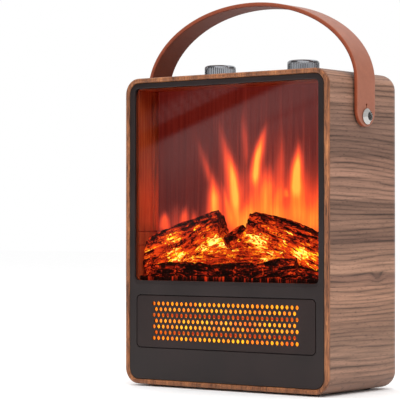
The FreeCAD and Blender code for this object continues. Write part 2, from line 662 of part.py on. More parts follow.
def build_grille():
    """Perforated plate, flush in the panel, thinned behind its holes and flanged all round."""
    body = doc.addObject("PartDesign::Body", "grille_face")
    outline = new_sketch(body, "grille_outline", "XZ_Plane")
    rounded_rectangle(outline, "2 * grille_half", "grille_tall", "grille_corner")
    pad = body.newObject("PartDesign::Pad", "grille_pad")
    pad.Profile = outline
    pad.Reversed = True
    bind(pad, "Length", "grille_back - grille_y")
    long_count = int(number("hole_count"))
    rows = int(number("row_count"))
    lift = "hole_mid - grille_mid"
    for name, count, lines, first_row in (("long", long_count, rows // 2 + 1, 0),
                                          ("short", long_count - 1, rows // 2, 1)):
        sketch = circle_sketch(body, f"hole_{name}", "XZ_Plane", "hole_size / 2",
                               f"-hole_pitch * {(count - 1) / 2}",
                               f"{lift} - row_pitch * {(rows - 1) / 2 - first_row}")
        pocket = pocket_through(body, sketch, f"holes_{name}")
        grid(body, pocket, sketch, ("hole_pitch", count), ("2 * row_pitch", lines))
    place(body, "0", "grille_y", "grille_mid")
    flange = slab("grille_flange_ring", ("2 * grille_half + 2 * grille_flange",
                                         "grille_tall + grille_flange"), "grille_corner",
                  ("0", "grille_mid"), ("panel_back", "grille_back"),
                  hole=("2 * grille_half - 12", "grille_tall - 10", "grille_corner"))
    relief = slab("grille_relief", ("2 * grille_half - 8", "grille_tall - 6"), "grille_corner",
                  ("0", "grille_mid"), ("grille_y + grille_thick", "grille_back + 1"))
    holes = [rod(f"grille_screw_hole_{i}", "Y", "screw_shank + fit_gap",
                 ("panel_back - 1", "grille_back + 1"), at) for i, at in enumerate(GRILLE_SCREWS)]
    node("grille_plate", cut("grille", join("grille_solid", [body, flange]), [relief] + holes))


def build_front_screws():
    """Screws that hold the panel, the grille plate and the liner, all driven from inside."""
    node("panel_screws", group("panel_screw_set", [
        screw(f"panel_screw_{i}", "Y", ("skirt_back + 3.3", "skirt_back + 3.3 + screw_high"),
              "panel_back + 1", at) for i, at in enumerate(PANEL_SCREWS)]))
    node("grille_screws", group("grille_screw_set", [
        screw(f"grille_screw_{i}", "Y", ("grille_back", "grille_back + screw_high"),
              "panel_back - 1.8", at) for i, at in enumerate(GRILLE_SCREWS)]))
    node("liner_screws", group("liner_screw_set", [
        screw(f"liner_screw_{i}", "Y", ("glass_back + liner_flange", "glass_back + liner_flange + 1.4"),
              "panel_back - 1", at) for i, at in enumerate(LINER_SCREWS)]))


# ---------------------------------------------------------------- flame display
def build_firebox():
    """Wood-look walls round the display, with a flange behind the glass, and the flame screen."""
    outline = ("2 * liner_half", "liner_top - liner_low")
    corner = "window_corner + liner_wall"
    tube = slab("liner_tube", outline, corner, ("0", "window_mid"), ("glass_back", "screen_y"))
    flange_low = "(liner_low - 8)"
    flange = slab("liner_flange_plate", ("2 * glass_half", f"glass_top - {flange_low}"), "glass_corner",
                  ("0", f"(glass_top + {flange_low}) / 2"), ("glass_back", "glass_back + liner_flange"))
    inside = slab("liner_inside", ("2 * window_half", "window_tall"), "window_corner", ("0", "window_mid"),
                  ("glass_back - 1", "screen_y + 1"))
    light_hole = block("liner_light_hole", ("-92", "92"), ("screen_y - 25", "screen_y - 4"),
                       ("liner_low - 1", "window_low + 1"))
    holes = [rod(f"liner_screw_hole_{i}", "Y", "screw_shank + fit_gap", ("glass_back - 1", "glass_back + 3"),
                 at) for i, at in enumerate(LINER_SCREWS)]
    solid = join("liner_solid", [tube, flange])
    node("firebox_liner", cut("liner", solid, [inside, light_hole] + holes))
    node("flame_screen", slab("screen", outline, corner, ("0", "window_mid"),
                              ("screen_y", "screen_y + screen_thick")))


def log(label, start, end, radius):
    """A log between two points, each (x, y, height above the firebox floor)."""
    low = Vector(number(start[0]), number(start[1]), number(f"window_low + {start[2]}"))
    high = Vector(number(end[0]), number(end[1]), number(f"window_low + {end[2]}"))
    item = doc.addObject("Part::Cylinder", label)
    item.Placement = Placement(low, Rotation(Vector(0, 0, 1), high - low))
    bind(item, "Radius", radius)
    item.Height = (high - low).Length
    return item


def build_logs():
    """Moulded bed of logs and embers: crossed logs on a low bed, hollow over the lamps."""
    front = number("glass_back") + 1
    back = number("screen_y") - 1
    middle = (front + back) / 2
    bed = block("ember_bed", ("-101", "101"), (front, back), ("window_low", "window_low + ember_height"))
    logs = [
        log("log_left", ("-98", middle, "16"), ("-12", middle, "log_height - 15"), "log_radius"),
        log("log_right", ("92", middle, "14"), ("14", middle, "log_height - 13"), "log_radius"),
        log("log_cross", ("-40", middle, "14"), ("62", middle, "26"), "log_radius + 1"),
        log("log_middle", ("-30", middle, "22"), ("34", middle, "48"), "log_radius - 1.5"),
    ]
    hollow = block("ember_hollow", ("-86", "86"), (front + 6, back - 5),
                   ("window_low - 1", "window_low + ember_height - 3"))
    trim = block("log_space", ("-104", "104"), (front, back), ("window_low", "window_low + log_height"))
    solid = common("log_solid", join("log_heap", [bed] + logs), trim)
    node("log_bed", cut("logs", solid, [hollow]))


def build_lamps():
    """Sheet-metal tray that carries the LED board and the spindle's bearings."""
    rear = "fan_y + 2"
    front = "glass_back + liner_flange + 2"
    outside = block("tray_outside", ("-tray_half", "tray_half"), (front, rear), ("tray_low", "liner_low"))
    inside = block("tray_inside", ("-tray_half + tray_sheet", "tray_half - tray_sheet"),
                   (f"{front} + tray_sheet", f"{rear} - tray_sheet"), ("board_low", "liner_low + 1"))
    tray = cut("tray_box", outside, [inside])
    ears = [block(f"tray_ear_{i}", (low, high), ("spindle_y - 10", "spindle_y + 10"),
                  ("liner_low - 1", "spindle_z + 12"))
            for i, (low, high) in enumerate((("-tray_half", "-tray_half + tray_sheet"),
                                             ("tray_half - tray_sheet", "tray_half")))]
    bearing = rod("tray_bearing_hole", "X", "spindle_rod + 2", ("-tray_half - 1", "tray_half + 1"),
                  ("spindle_y", "spindle_z"))
    node("lamp_tray", cut("lamp_tray_cut", join("lamp_tray_solid", [tray] + ears), [bearing]))
    board = block("board", ("-tray_half + 6", "tray_half - 6"), (f"{front} + 3", f"{rear} - 3"),
                  ("board_low", "led_low"))
    node("led_board", board)
    lamps = []
    for row, (y, count) in enumerate((("screen_y - 20", 12), ("screen_y - 9", 12), ("spindle_y", 10))):
        for i in range(count):
            x = f"({i} - {(count - 1) / 2}) * led_pitch"
            lamps.append(block(f"led_{row}_{i}", (f"{x} - led_size / 2", f"{x} + led_size / 2"),
                               (f"{y} - led_size / 2", f"{y} + led_size / 2"),
                               ("led_low", "led_low + led_thick")))
    node("leds", group("led_set", lamps))


def build_spindle():
    """Turning rod with mirror strips that throws the flame light, its motor, bush and shade."""
    parts = [rod("spindle_core", "X", "spindle_rod", ("-tray_half - 2", "tray_half + 4"),
                 ("spindle_y", "spindle_z"))]
    for i in range(11):
        for quarter in range(4):
            strip = doc.addObject("Part::Box", f"strip_{i}_{quarter}")
            bind(strip, "Length", "strip_long")
            bind(strip, "Width", "strip_sheet")
            bind(strip, "Height", "spindle_reach")
            angle = quarter * 90 + i * 25
            turn = Rotation(Vector(1, 0, 0), angle)
            strip.Placement = Placement(Vector(), turn)
            place(strip, f"{i - 5.5} * (strip_long + strip_gap)",
                  f"spindle_y - strip_sheet * {cos(radians(angle)) / 2}",
                  f"spindle_z - strip_sheet * {sin(radians(angle)) / 2}")
            parts.append(strip)
    node("flame_spindle", join("spindle", parts))
    bush = rod("spindle_bush_body", "X", "spindle_rod + 2", ("-tray_half - 1.5", "-tray_half + 3"),
               ("spindle_y", "spindle_z"))
    bore = rod("spindle_bush_bore", "X", "spindle_rod + run_gap", ("-tray_half - 3", "-tray_half + 4"),
               ("spindle_y", "spindle_z"))
    node("spindle_bush", cut("spindle_bush_cut", bush, [bore]))
    can = rod("flame_motor_can", "X", "flame_can", ("tray_half", "tray_half + flame_can_long"),
              ("spindle_y", "spindle_z"))
    nose = rod("flame_motor_nose", "X", "spindle_rod + 2", ("tray_half - 2.5", "tray_half + 1"),
               ("spindle_y", "spindle_z"))
    hole = rod("flame_motor_bore", "X", "spindle_rod + run_gap", ("tray_half - 3", "tray_half + 5"),
               ("spindle_y", "spindle_z"))
    node("flame_motor", cut("flame_motor_cut", join("flame_motor_body", [can, nose]), [hole]))
    back = "fan_y + 2"
    wide = ("-tray_half + 8", "tray_half - 8")
    rear = f"{back} + shade_sheet"
    upright = block("shade_plate", wide, (back, rear), ("tray_low + 2", "shade_high"))
    lip = block("shade_lip", wide, ("spindle_y + 4", rear), ("shade_high - shade_sheet", "shade_high"))
    node("flame_shade", join("shade", [upright, lip]))


# ---------------------------------------------------------------- heater core
def fin_row(label, low):
    """One folded fin strip, a zigzag sheet between two heights."""
    pitch = number("fin_pitch")
    sheet_x = number("fin_sheet")
    half = number("core_half")
    bottom = number(low)
    top = bottom + number("fin_height")
    front = number("core_front")
    folds = int(2 * half / pitch)
    start = -folds * pitch / 2
    upper = []
    lower = []
    for i in range(2 * folds + 1):
        x = start + i * pitch / 2
        z = bottom if i % 2 == 0 else top
        lower.append(Vector(x, front, z if z == bottom else z - 2 * sheet_x))
        upper.append(Vector(x, front, z if z == top else z + 2 * sheet_x))
    outline = lower + upper[::-1]
    face = Part.Face(Part.makePolygon(outline + outline[:1]))
    strip = doc.addObject("Part::Feature", label)
    strip.Shape = face.extrude(Vector(0, number("core_deep"), 0))
    return strip


def build_core():
    """Three rows of fins and two heating bars of ceramic stones between electrode strips."""
    fins = [fin_row(f"fin_row_{i}", f"core_low + {i} * bar_pitch") for i in range(3)]
    node("ptc_fins", group("fin_set", fins))
    stones = []
    strips = []
    count = int(number("stone_count"))
    for bar in range(2):
        low = f"(core_low + fin_height + {bar} * bar_pitch)"
        high = f"({low} + bar_height)"
        for i in range(count):
            mid = f"stone_half * {2 * (i - (count - 1) / 2) / count}"
            size = f"stone_half * {0.94 / count}"
            stones.append(block(f"stone_{bar}_{i}", (f"{mid} - {size}", f"{mid} + {size}"),
                                ("core_front + 1", "core_back - 1"),
                                (f"{low} + electrode_thick", f"{high} - electrode_thick")))
        for side, (z0, z1) in enumerate(((low, f"{low} + electrode_thick"),
                                         (f"{high} - electrode_thick", high))):
            strips.append(block(f"electrode_{bar}_{side}", ("-core_half", f"core_half + {8 * side + 4}"),
                                ("core_front + 0.5", "core_back - 0.5"), (z0, z1)))
    node("ptc_stones", group("stone_set", stones))
    node("ptc_electrodes", group("electrode_set", strips))
    outside = block("core_frame_outside", ("-core_outer", "core_outer"), ("core_front", "core_back"),
                    ("core_low - frame_wall", "core_high + frame_wall"))
    inside = block("core_frame_inside", ("-core_half", "core_half"), ("core_front - 1", "core_back + 1"),
                   ("core_low", "core_high"))
    slots = [block(f"core_frame_slot_{bar}", ("core_half - 1", "core_outer + 1"),
                   ("core_front + 0.5", "core_back - 0.5"),
                   (f"core_low + fin_height + {bar} * bar_pitch",
                    f"core_low + fin_height + {bar} * bar_pitch + bar_height")) for bar in range(2)]
    node("ptc_frame", cut("core_frame", outside, [inside] + slots))


# ---------------------------------------------------------------- blower
def build_scroll():
    """Lower guide that turns up behind the impeller, upper tongue, and two end plates."""
    ends = ("-scroll_half", "scroll_half")
    outer_r = "(scroll_radius + scroll_sheet)"
    ring = cut("guide_ring", rod("guide_outer", "X", outer_r, ends, ("fan_y", "fan_z")),
               [rod("guide_inner", "X", "scroll_radius", ("-end_x", "end_x"), ("fan_y", "fan_z"))])
    sector = block("guide_sector", ends, ("fan_y", f"fan_y + {outer_r}"),
                   (f"fan_z - {outer_r}", "fan_z + 4"))
    curved = common("guide_curve", ring, sector)
    flat = block("guide_flat", ends, ("core_back", "fan_y"), (f"fan_z - {outer_r}", "fan_z - scroll_radius"))
    tongue = join("tongue", [
        block("tongue_flat", ends, ("core_back", "fan_y - 22"), ("core_high + 1", "core_high + 3")),
        block("tongue_lip", ends, ("fan_y - 24", "fan_y - 22"), ("fan_z + 10", "core_high + 3")),
    ])
    plates = []
    for side, (low, high) in {"left": ("-end_x", "-scroll_half"), "right": ("scroll_half", "end_x")}.items():
        plate = block(f"end_plate_{side}", (low, high), ("core_back", f"fan_y + {outer_r}"),
                      (f"fan_z - {outer_r}", "core_high + 3"))
        hole = rod(f"end_hole_{side}", "X", "5", (f"{low} - 1", f"{high} + 1"), ("fan_y", "fan_z"))
        plates.append(cut(f"end_{side}", plate, [hole]))
    node("blower_scroll", join("scroll", [curved, flat, tongue] + plates))


def build_impeller():
    """Cross-flow wheel: three discs on the shaft and a ring of blades between the outer two."""
    body = doc.addObject("PartDesign::Body", "wheel")
    for name, low, high in (("near", "0", "2"), ("middle", "fan_half - 1", "fan_half + 1"),
                            ("far", "2 * fan_half - 2", "2 * fan_half")):
        sketch = circle_sketch(body, f"disc_{name}", "YZ_Plane", "fan_radius", "0", "0")
        bind(sketch, "AttachmentOffset.Base.z", low)
        pad = body.newObject("PartDesign::Pad", f"disc_{name}_pad")
        pad.Profile = sketch
        bind(pad, "Length", f"({high}) - ({low})")
        doc.recompute()
    blade = new_sketch(body, "blade", "YZ_Plane")
    outer = number("fan_radius") - 0.3
    inner = outer - 7
    corners = [Vector(inner, 0, 0), Vector(outer, 2.4, 0), Vector(outer, 3.3, 0), Vector(inner, 0.9, 0)]
    blade.addGeometry([Part.LineSegment(corners[i], corners[(i + 1) % 4]) for i in range(4)], False)
    pad = body.newObject("PartDesign::Pad", "blade_pad")
    pad.Profile = blade
    bind(pad, "Length", "2 * fan_half")
    doc.recompute()
    ring = body.newObject("PartDesign::PolarPattern", "blade_ring")
    ring.Originals = [pad]
    ring.Axis = (blade, ["N_Axis"])
    ring.Angle = 360
    ring.Occurrences = int(number("fan_blades"))
    body.Tip = ring
    bore = circle_sketch(body, "wheel_bore", "YZ_Plane", "shaft_radius", "0", "0")
    pocket_through(body, bore, "wheel_bore_cut")
    place(body, "-fan_half", "fan_y", "fan_z")
    node("fan_wheel", body)


def build_fan_drive():
    """Shaft with bushes, motor with laminations, coil, rotor and its two bridges."""
    axis = ("fan_y", "fan_z")
    node("fan_shaft", rod("shaft", "X", "shaft_radius", ("-end_x - 7", "motor_high + 4.5"), axis))
    plate = block("stack_plate", ("motor_low", "motor_high"), ("fan_y - 22", "fan_y + 42"),
                  ("fan_z - 22", "fan_z + 22"))
    window = block("stack_window", ("motor_low - 1", "motor_high + 1"), ("fan_y + 23", "fan_y + 33"),
                   ("fan_z - 14", "fan_z + 14"))
    bore = rod("stack_bore", "X", "rotor_radius + air_gap", ("motor_low - 1", "motor_high + 1"), axis)
    node("fan_stator", cut("stator", plate, [window, bore]))
    coil = block("coil_block", ("motor_low - 3", "motor_high + 3"), ("fan_y + 24", "fan_y + 45"),
                 ("fan_z - 13", "fan_z + 13"))
    limb = block("coil_limb", ("motor_low", "motor_high"), ("fan_y + 33", "fan_y + 42"),
                 ("fan_z - 14", "fan_z + 14"))
    node("fan_coil", cut("coil", coil, [limb]))
    drum = rod("rotor_drum", "X", "rotor_radius", ("motor_low", "motor_high"), axis)
    node("fan_rotor", cut("rotor", drum, [rod("rotor_bore", "X", "shaft_radius",
                                              ("motor_low - 1", "motor_high + 1"), axis)]))
    bridges = []
    bushes = []
    spans = {"end": ("-end_x - 5", "-scroll_half - 0.5"), "inner": ("motor_low - 4", "motor_low - 1"),
             "outer": ("motor_high + 1", "motor_high + 4")}
    for name, (low, high) in spans.items():
        bush = rod(f"bush_{name}", "X", "bush_outer", (low, high), axis)
        bushes.append(cut(f"bush_{name}_cut", bush, [rod(f"bush_{name}_bore", "X", "shaft_radius + run_gap",
                                                         (f"{low} - 1", f"{high} + 1"), axis)]))
    for name in ("inner", "outer"):
        low, high = spans[name]
        bar = block(f"bridge_{name}", (low, high), ("fan_y - 20", "fan_y + 20"), ("fan_z - 8", "fan_z + 8"))
        hole = rod(f"bridge_{name}_hole", "X", "bush_outer", (f"{low} - 1", f"{high} + 1"), axis)
        stack_side = ("motor_low - 1", "motor_low") if name == "inner" else ("motor_high", "motor_high + 1")
        feet = [block(f"bridge_{name}_foot_{i}", stack_side, span, ("fan_z - 8", "fan_z + 8"))
                for i, span in enumerate((("fan_y - 20", "fan_y - 15"), ("fan_y + 15", "fan_y + 20")))]
        bridges.append(cut(f"bridge_{name}_cut", join(f"bridge_{name}_solid", [bar] + feet), [hole]))
    node("motor_bridges", group("bridge_set", bridges))
    node("fan_bushes", group("bush_set", bushes))


# ---------------------------------------------------------------- controls
def build_controls():
    """Thermostat and mode switch under the top, their spindles, nuts, knobs and marks."""
    bodies = {
        "left": block("thermostat_case", ("-knob_x - control_half", "-knob_x + control_half"),
                      ("-control_half + 2", "control_half - 2"), ("inner_top - control_hang", "inner_top")),
        "right": rod("switch_case", "Z", "switch_radius", ("inner_top - control_hang - 2", "inner_top"),
                     ("knob_x", "0")),
    }
    names = {"left": ("thermostat", "thermostat_spindle"), "right": ("mode_switch", "mode_switch_spindle")}
    nuts = []
    for side, x in KNOBS.items():
        at = (x, "0")
        bush = rod(f"threaded_bush_{side}", "Z", "bush_radius", ("inner_top", "knob_low + 3"), at)
        bore = rod(f"bush_bore_{side}", "Z", "control_rod + run_gap", ("inner_top - 8", "knob_low + 4"), at)
        tags = [block(f"tag_{side}_{i}", (f"{x} + {6 * i - 9}", f"{x} + {6 * i - 5}"), ("-2", "-1.2"),
                      ("inner_top - control_hang - 10", "inner_top - control_hang + 1"))
                for i in range(3)]
        solid = join(f"control_{side}", [bodies[side], bush] + tags)
        node(names[side][0], cut(f"control_{side}_cut", solid, [bore]))
        node(names[side][1], rod(f"spindle_{side}", "Z", "control_rod",
                                 ("inner_top - spindle_hang", "spindle_end"), at))
        nut = hexagon(f"nut_{side}", "nut_radius", ("top_z", "top_z + nut_high"), at)
        nuts.append(cut(f"nut_{side}_cut", nut, [rod(f"nut_bore_{side}", "Z", "bush_radius",
                                                     ("top_z - 1", "top_z + 4"), at)]))
        build_knob(side, x)
    node("control_nuts", group("nut_set", nuts))


def build_knob(side, x):
    """Fluted knob with a bevelled top, hollow underneath, and its inlaid pointer."""
    body = doc.addObject("PartDesign::Body", f"knob_{side}_body")
    outline = circle_sketch(body, f"knob_{side}_outline", "XY_Plane", "knob_radius", "0", "0")
    pad = body.newObject("PartDesign::Pad", f"knob_{side}_pad")
    pad.Profile = outline
    bind(pad, "Length", "knob_high - knob_low")
    doc.recompute()
    top = [f"Edge{i}" for i, edge in enumerate(pad.Shape.Edges, start=1)
           if abs(edge.BoundBox.ZMin - number("knob_high - knob_low")) < 1e-4]
    bevel = body.newObject("PartDesign::Chamfer", f"knob_{side}_bevel")
    bevel.Base = (pad, top)
    bind(bevel, "Size", "knob_bevel")
    flute = circle_sketch(body, f"knob_{side}_flute", "XY_Plane", "flute_radius", "knob_radius + 0.45", "0")
    groove = pocket_through(body, flute, f"knob_{side}_groove")
    doc.recompute()
    ring = body.newObject("PartDesign::PolarPattern", f"knob_{side}_flutes")
    ring.Originals = [groove]
    ring.Axis = (flute, ["N_Axis"])
    ring.Angle = 360
    ring.Occurrences = int(number("knob_flutes"))
    body.Tip = ring
    place(body, x, "0", "knob_low")
    skirt = rod(f"knob_{side}_hollow", "Z", "knob_radius - knob_rim",
                ("knob_low - 1", "knob_low + knob_seat"), (x, "0"))
    bore = rod(f"knob_{side}_bore", "Z", "control_rod", ("knob_low", "spindle_end"), (x, "0"))
    mark_x = (f"{x} - mark_half", f"{x} + mark_half")
    mark_y = ("-knob_radius + mark_edge", "-knob_radius + mark_edge + mark_long")
    seat = block(f"mark_{side}_seat", mark_x, mark_y, ("knob_high - mark_deep", "knob_high + 1"))
    node(f"knob_{side}", cut(f"knob_{side}_cut", body, [skirt, bore, seat]))
    node(f"pointer_{side}", block(f"mark_{side}", mark_x, mark_y, ("knob_high - mark_deep", "knob_high")))


# ---------------------------------------------------------------- carrying strap
def arch(label, half, rise, low, y):
    """Solid under an elliptical arch on straight legs."""
    curve = doc.addObject("Part::Ellipse", f"{label}_curve")
    curve.Placement = Placement(Vector(), Rotation(Vector(1, 0, 0), 90))
    bind(curve, "MajorRadius", half)
    bind(curve, "MinorRadius", rise)
    place(curve, "0", y[1], "strap_spring")
    dome = doc.addObject("Part::Extrusion", f"{label}_dome")
    dome.Base = curve
    dome.DirMode = "Custom"
    dome.Dir = Vector(0, -1, 0)
    dome.Solid = True
    bind(dome, "LengthFwd", f"({y[1]}) - ({y[0]})")
    legs = block(f"{label}_legs", (f"-({half})", half), y, (low, "strap_spring"))
    below = block(f"{label}_below", (f"-({half}) - 1", f"({half}) + 1"), (f"{y[0]} - 1", f"{y[1]} + 1"),
                  (f"strap_spring - ({rise}) - 1", "strap_spring"))
    return join(f"{label}_solid", [cut(f"{label}_upper", dome, [below]), legs])


def build_strap():
    """Leather strap: a band bent over the top, round at both ends, with slit button holes."""
    wide = ("strap_y - strap_width / 2", "strap_y + strap_width / 2")
    wider = ("strap_y - strap_width / 2 - 1", "strap_y + strap_width / 2 + 1")
    outer = arch("strap_out", "strap_outer", "strap_rise + strap_thick", "strap_low", wide)
    inner = arch("strap_in", "strap_inner", "strap_rise", "strap_low - 1", wider)
    band = cut("strap_band", outer, [inner])
    reach = ("-strap_outer - 1", "strap_outer + 1")
    end_z = "strap_low + strap_width / 2"
    rounds = rod("strap_end", "X", "strap_width / 2", reach, ("strap_y", end_z))
    above = block("strap_above", reach, wider, (end_z, "strap_spring + strap_rise + 20"))
    shaped = common("strap_shape", band, join("strap_outline", [rounds, above]))
    tools = [
        rod("button_hole", "X", "stud_neck + run_gap", reach, ("strap_y", "stud_z")),
        rod("slit_end", "X", "slit_hole", reach, ("strap_y", "slit_z")),
        block("slit", reach, ("strap_y - slit_width / 2", "strap_y + slit_width / 2"), ("stud_z", "slit_z")),
    ]
    node("handle_strap", cut("strap", shaped, tools))


def build_studs():
    """Polished studs through the strap into the housing, with spacers outside and nuts inside."""
    at = ("strap_y", "stud_z")
    spacers = []
    nuts = []
    for side, sign in (("left", "-"), ("right", "")):
        def span(low, high):
            return (f"-({high})", f"-({low})") if sign else (low, high)

        def taper(low, high):
            return (high, low) if sign else (low, high)
        head_low = "strap_outer + stud_seat"
        step = "strap_outer + stud_seat + stud_head * 0.3"
        crest = "strap_outer + stud_seat + stud_head"
        parts = [
            rod(f"stud_{side}_stem", "X", "stud_stem", span("inner_x - 5", "side_x"), at),
            rod(f"stud_{side}_neck", "X", "stud_neck", span("side_x", head_low), at),
            rod(f"stud_{side}_base", "X", "stud_radius", span(head_low, step), at),
            cone(f"stud_{side}_bevel", "X", taper("stud_radius", "stud_cap"), span(step, crest), at),
        ]
        node(f"stud_{side}", join(f"stud_{side}_solid", parts))
        washer = rod(f"spacer_{side}", "X", "stud_radius", span("side_x", "strap_inner - stud_seat"), at)
        hole = rod(f"spacer_{side}_hole", "X", "stud_neck", span("side_x - 1", "strap_inner + 1"), at)
        spacers.append(cut(f"spacer_{side}_cut", washer, [hole]))
        nut = rod(f"stud_nut_{side}", "X", "stud_nut", span("inner_x - stud_nut_thick", "inner_x"), at)
        bore = rod(f"stud_nut_{side}_bore", "X", "stud_stem", span("inner_x - 5", "inner_x + 1"), at)
        nuts.append(cut(f"stud_nut_{side}_cut", nut, [bore]))
    node("stud_spacers", group("spacer_set", spacers))
    node("stud_nuts", group("stud_nut_set", nuts))


# ---------------------------------------------------------------- covers, gland and feet
def slotted_cover(label, columns, rows, first, pitch, slot):
    """Cuts a grid of round-ended slots into a cover's body."""
    body = doc.getObject(label)
    role = "XZ_Plane" if label == "rear_plate" else "XY_Plane"
    sketch = new_sketch(body, f"{label}_slot", role)
    rounded_rectangle(sketch, slot[0], slot[1], f"({slot[1]}) * 0.48")
    bind(sketch, "AttachmentOffset.Base.x", first[0])
    bind(sketch, "AttachmentOffset.Base.y", first[1])
    pocket = pocket_through(body, sketch, f"{label}_slots")
    grid(body, pocket, sketch, (pitch[0], columns), (pitch[1], rows))


def build_rear_cover():
    """Black rear cover with intake slots and a well for the cord gland, and its screws."""
    plate = slab("rear_plate", ("2 * cover_half", "cover_tall"), "cover_corner", ("0", "cover_mid"),
                 ("cover_in", "cover_out"))
    slotted_cover("rear_plate", 4, 9, ("-slot_x * 1.5", "-15.5"), ("slot_x", "slot_z"),
                  ("slot_long", "slot_high"))
    at = ("gland_x", "gland_z")
    cup = rod("well_cup", "Y", "well_radius + 1.6", ("well_floor - 2", "cover_out"), at)
    solid = join("rear_cover_solid", [plate, cup])
    tools = [rod("well_space", "Y", "well_radius", ("well_floor", "rear_y + 1"), at),
             rod("well_hole", "Y", "gland_barrel", ("well_floor - 3", "rear_y"), at)]
    for i, at in enumerate(REAR_SCREWS):
        tools.append(rod(f"cover_hole_{i}", "Y", "screw_shank + fit_gap", ("cover_in - 1", "rear_y"), at))
        tools.append(rod(f"cover_sink_{i}", "Y", "screw_head + 0.2",
                         ("cover_in + screw_sunk", "rear_y"), at))
    node("rear_cover", cut("rear_cover_cut", solid, tools))
    node("rear_screws", group("rear_screw_set", [
        screw(f"rear_screw_{i}", "Y", ("cover_in + screw_sunk", "cover_in + screw_sunk + screw_high"),
              "ledge_in", at) for i, at in enumerate(REAR_SCREWS)]))


def build_gland():
    """Cord gland in the well of the rear cover: barrel, collar, tapered nose and ring nut."""
    at = ("gland_x", "gland_z")
    parts = [
        rod("gland_barrel_body", "Y", "gland_barrel", ("well_floor - 10", "well_floor"), at),
        rod("gland_collar", "Y", "gland_barrel + 2.5", ("well_floor", "well_floor + 2"), at),
        cone("gland_nose", "Y", ("gland_barrel + 0.8", "gland_barrel - 0.7"),
             ("well_floor + 2", "cover_out"), at),
    ]
    bore = rod("gland_bore_hole", "Y", "gland_bore", ("well_floor - 11", "rear_y"), at)
    node("cord_gland", cut("gland", join("gland_solid", parts), [bore]))
    ring = rod("gland_ring", "Y", "gland_barrel + 2.8", ("well_floor - 6", "well_floor - 2"), at)
    hole = rod("gland_ring_hole", "Y", "gland_barrel", ("well_floor - 7", "well_floor - 1"), at)
    node("gland_nut", cut("gland_nut_cut", ring, [hole]))


def build_base():
    """Slotted base plate with its screws, and four push-in rubber feet."""
    plate = sheet_plate("bottom_plate", ("2 * base_half", "2 * base_deep"), "base_corner",
                        ("base_under", "base_over"))
    slotted_cover("bottom_plate", 3, 5, ("-38", "-18"), ("38", "9"), ("28", "slot_high"))
    tools = []
    for i, at in enumerate(BASE_SCREWS):
        tools.append(rod(f"plate_hole_{i}", "Z", "screw_shank + fit_gap", ("box_lift", "base_over + 1"), at))
        tools.append(rod(f"plate_sink_{i}", "Z", "screw_head + 0.2",
                         ("box_lift", "base_over - screw_sunk"), at))
    node("base_plate", cut("base_plate_cut", plate, tools))
    node("base_screws", group("base_screw_set", [
        screw(f"base_screw_{i}", "Z", ("base_over - screw_sunk", "base_over - screw_sunk - screw_high"),
              "floor_z + ledge_thick", at) for i, at in enumerate(BASE_SCREWS)]))
    feet = []
    for i, at in enumerate(FEET):
        feet.append(join(f"foot_{i}", [
            cone(f"foot_{i}_pad", "Z", ("foot_radius - 0.6", "foot_radius"), ("0", "box_lift"), at),
            rod(f"foot_{i}_stem", "Z", "foot_radius - 4", ("box_lift", "floor_z"), at),
            cone(f"foot_{i}_barb", "Z", ("foot_radius - 3", "foot_radius - 4.5"),
                 ("floor_z", "floor_z + 4"), at),
        ]))
    node("feet", group("foot_set", feet))


# ---------------------------------------------------------------- electrics
def build_safety():
    """Thermal cut-out, thermal fuse, tip-over switch and terminal block."""
    cut_at = ("core_back + 12", "fan_z - 14")
    node("thermal_cutout", join("cutout", [
        rod("cutout_cup", "X", "8", ("end_x", "end_x + 4"), cut_at),
        rod("cutout_body", "X", "6.5", ("end_x + 4", "end_x + 9"), cut_at),
    ]))
    node("thermal_fuse", rod("fuse", "Z", "2", ("fan_z + 2", "fan_z + 16"),
                             ("-end_x - 2", "core_back + 10")))
    node("tip_switch", join("tip_switch_solid", [
        block("tip_switch_case", ("-104", "-88"), ("8", "30"), ("floor_z", "floor_z + 20")),
        rod("tip_switch_cap", "Z", "6", ("floor_z + 20", "floor_z + 24"), ("-96", "19")),
    ]))
    deep = ("terminal_y - terminal_half", "terminal_y + terminal_half")
    top = "floor_z + terminal_high"
    poles = ("-20", "0", "20")
    base = block("terminal_base", ("-30", "30"), deep, ("floor_z", top))
    posts = [block(f"terminal_post_{i}", (f"{x} - 8", f"{x} + 8"), deep, (top, f"{top} + 5"))
             for i, x in enumerate(poles)]
    screws = [rod(f"terminal_well_{i}", "Z", "2", (f"{top} - 2", f"{top} + 6"), (x, "terminal_y"))
              for i, x in enumerate(poles)]
    node("terminal_block", cut("terminal_cut", join("terminal_solid", [base] + posts), screws))


def bent_tube(points, bends, radius):
    """A round tube along straight runs joined by tangent arcs."""
    edges = []
    here = points[0]
    for i in range(1, len(points) - 1):
        before = (points[i] - points[i - 1]).normalize()
        after = (points[i + 1] - points[i]).normalize()
        half = before.getAngle(after) / 2
        reach = bends[i - 1] * sin(half) / cos(half)
        enter = points[i] - before * reach
        leave = points[i] + after * reach
        inward = (after - before).normalize()
        middle = points[i] + inward * (bends[i - 1] / cos(half) - bends[i - 1])
        edges.append(Part.LineSegment(here, enter).toShape())
        edges.append(Part.Arc(enter, middle, leave).toShape())
        here = leave
    edges.append(Part.LineSegment(here, points[-1]).toShape())
    path = Part.Wire(edges)
    start = (points[1] - points[0]).normalize()
    ring = Part.Wire([Part.Circle(points[0], start, radius).toShape()])
    return path.makePipeShell([ring], True, False)


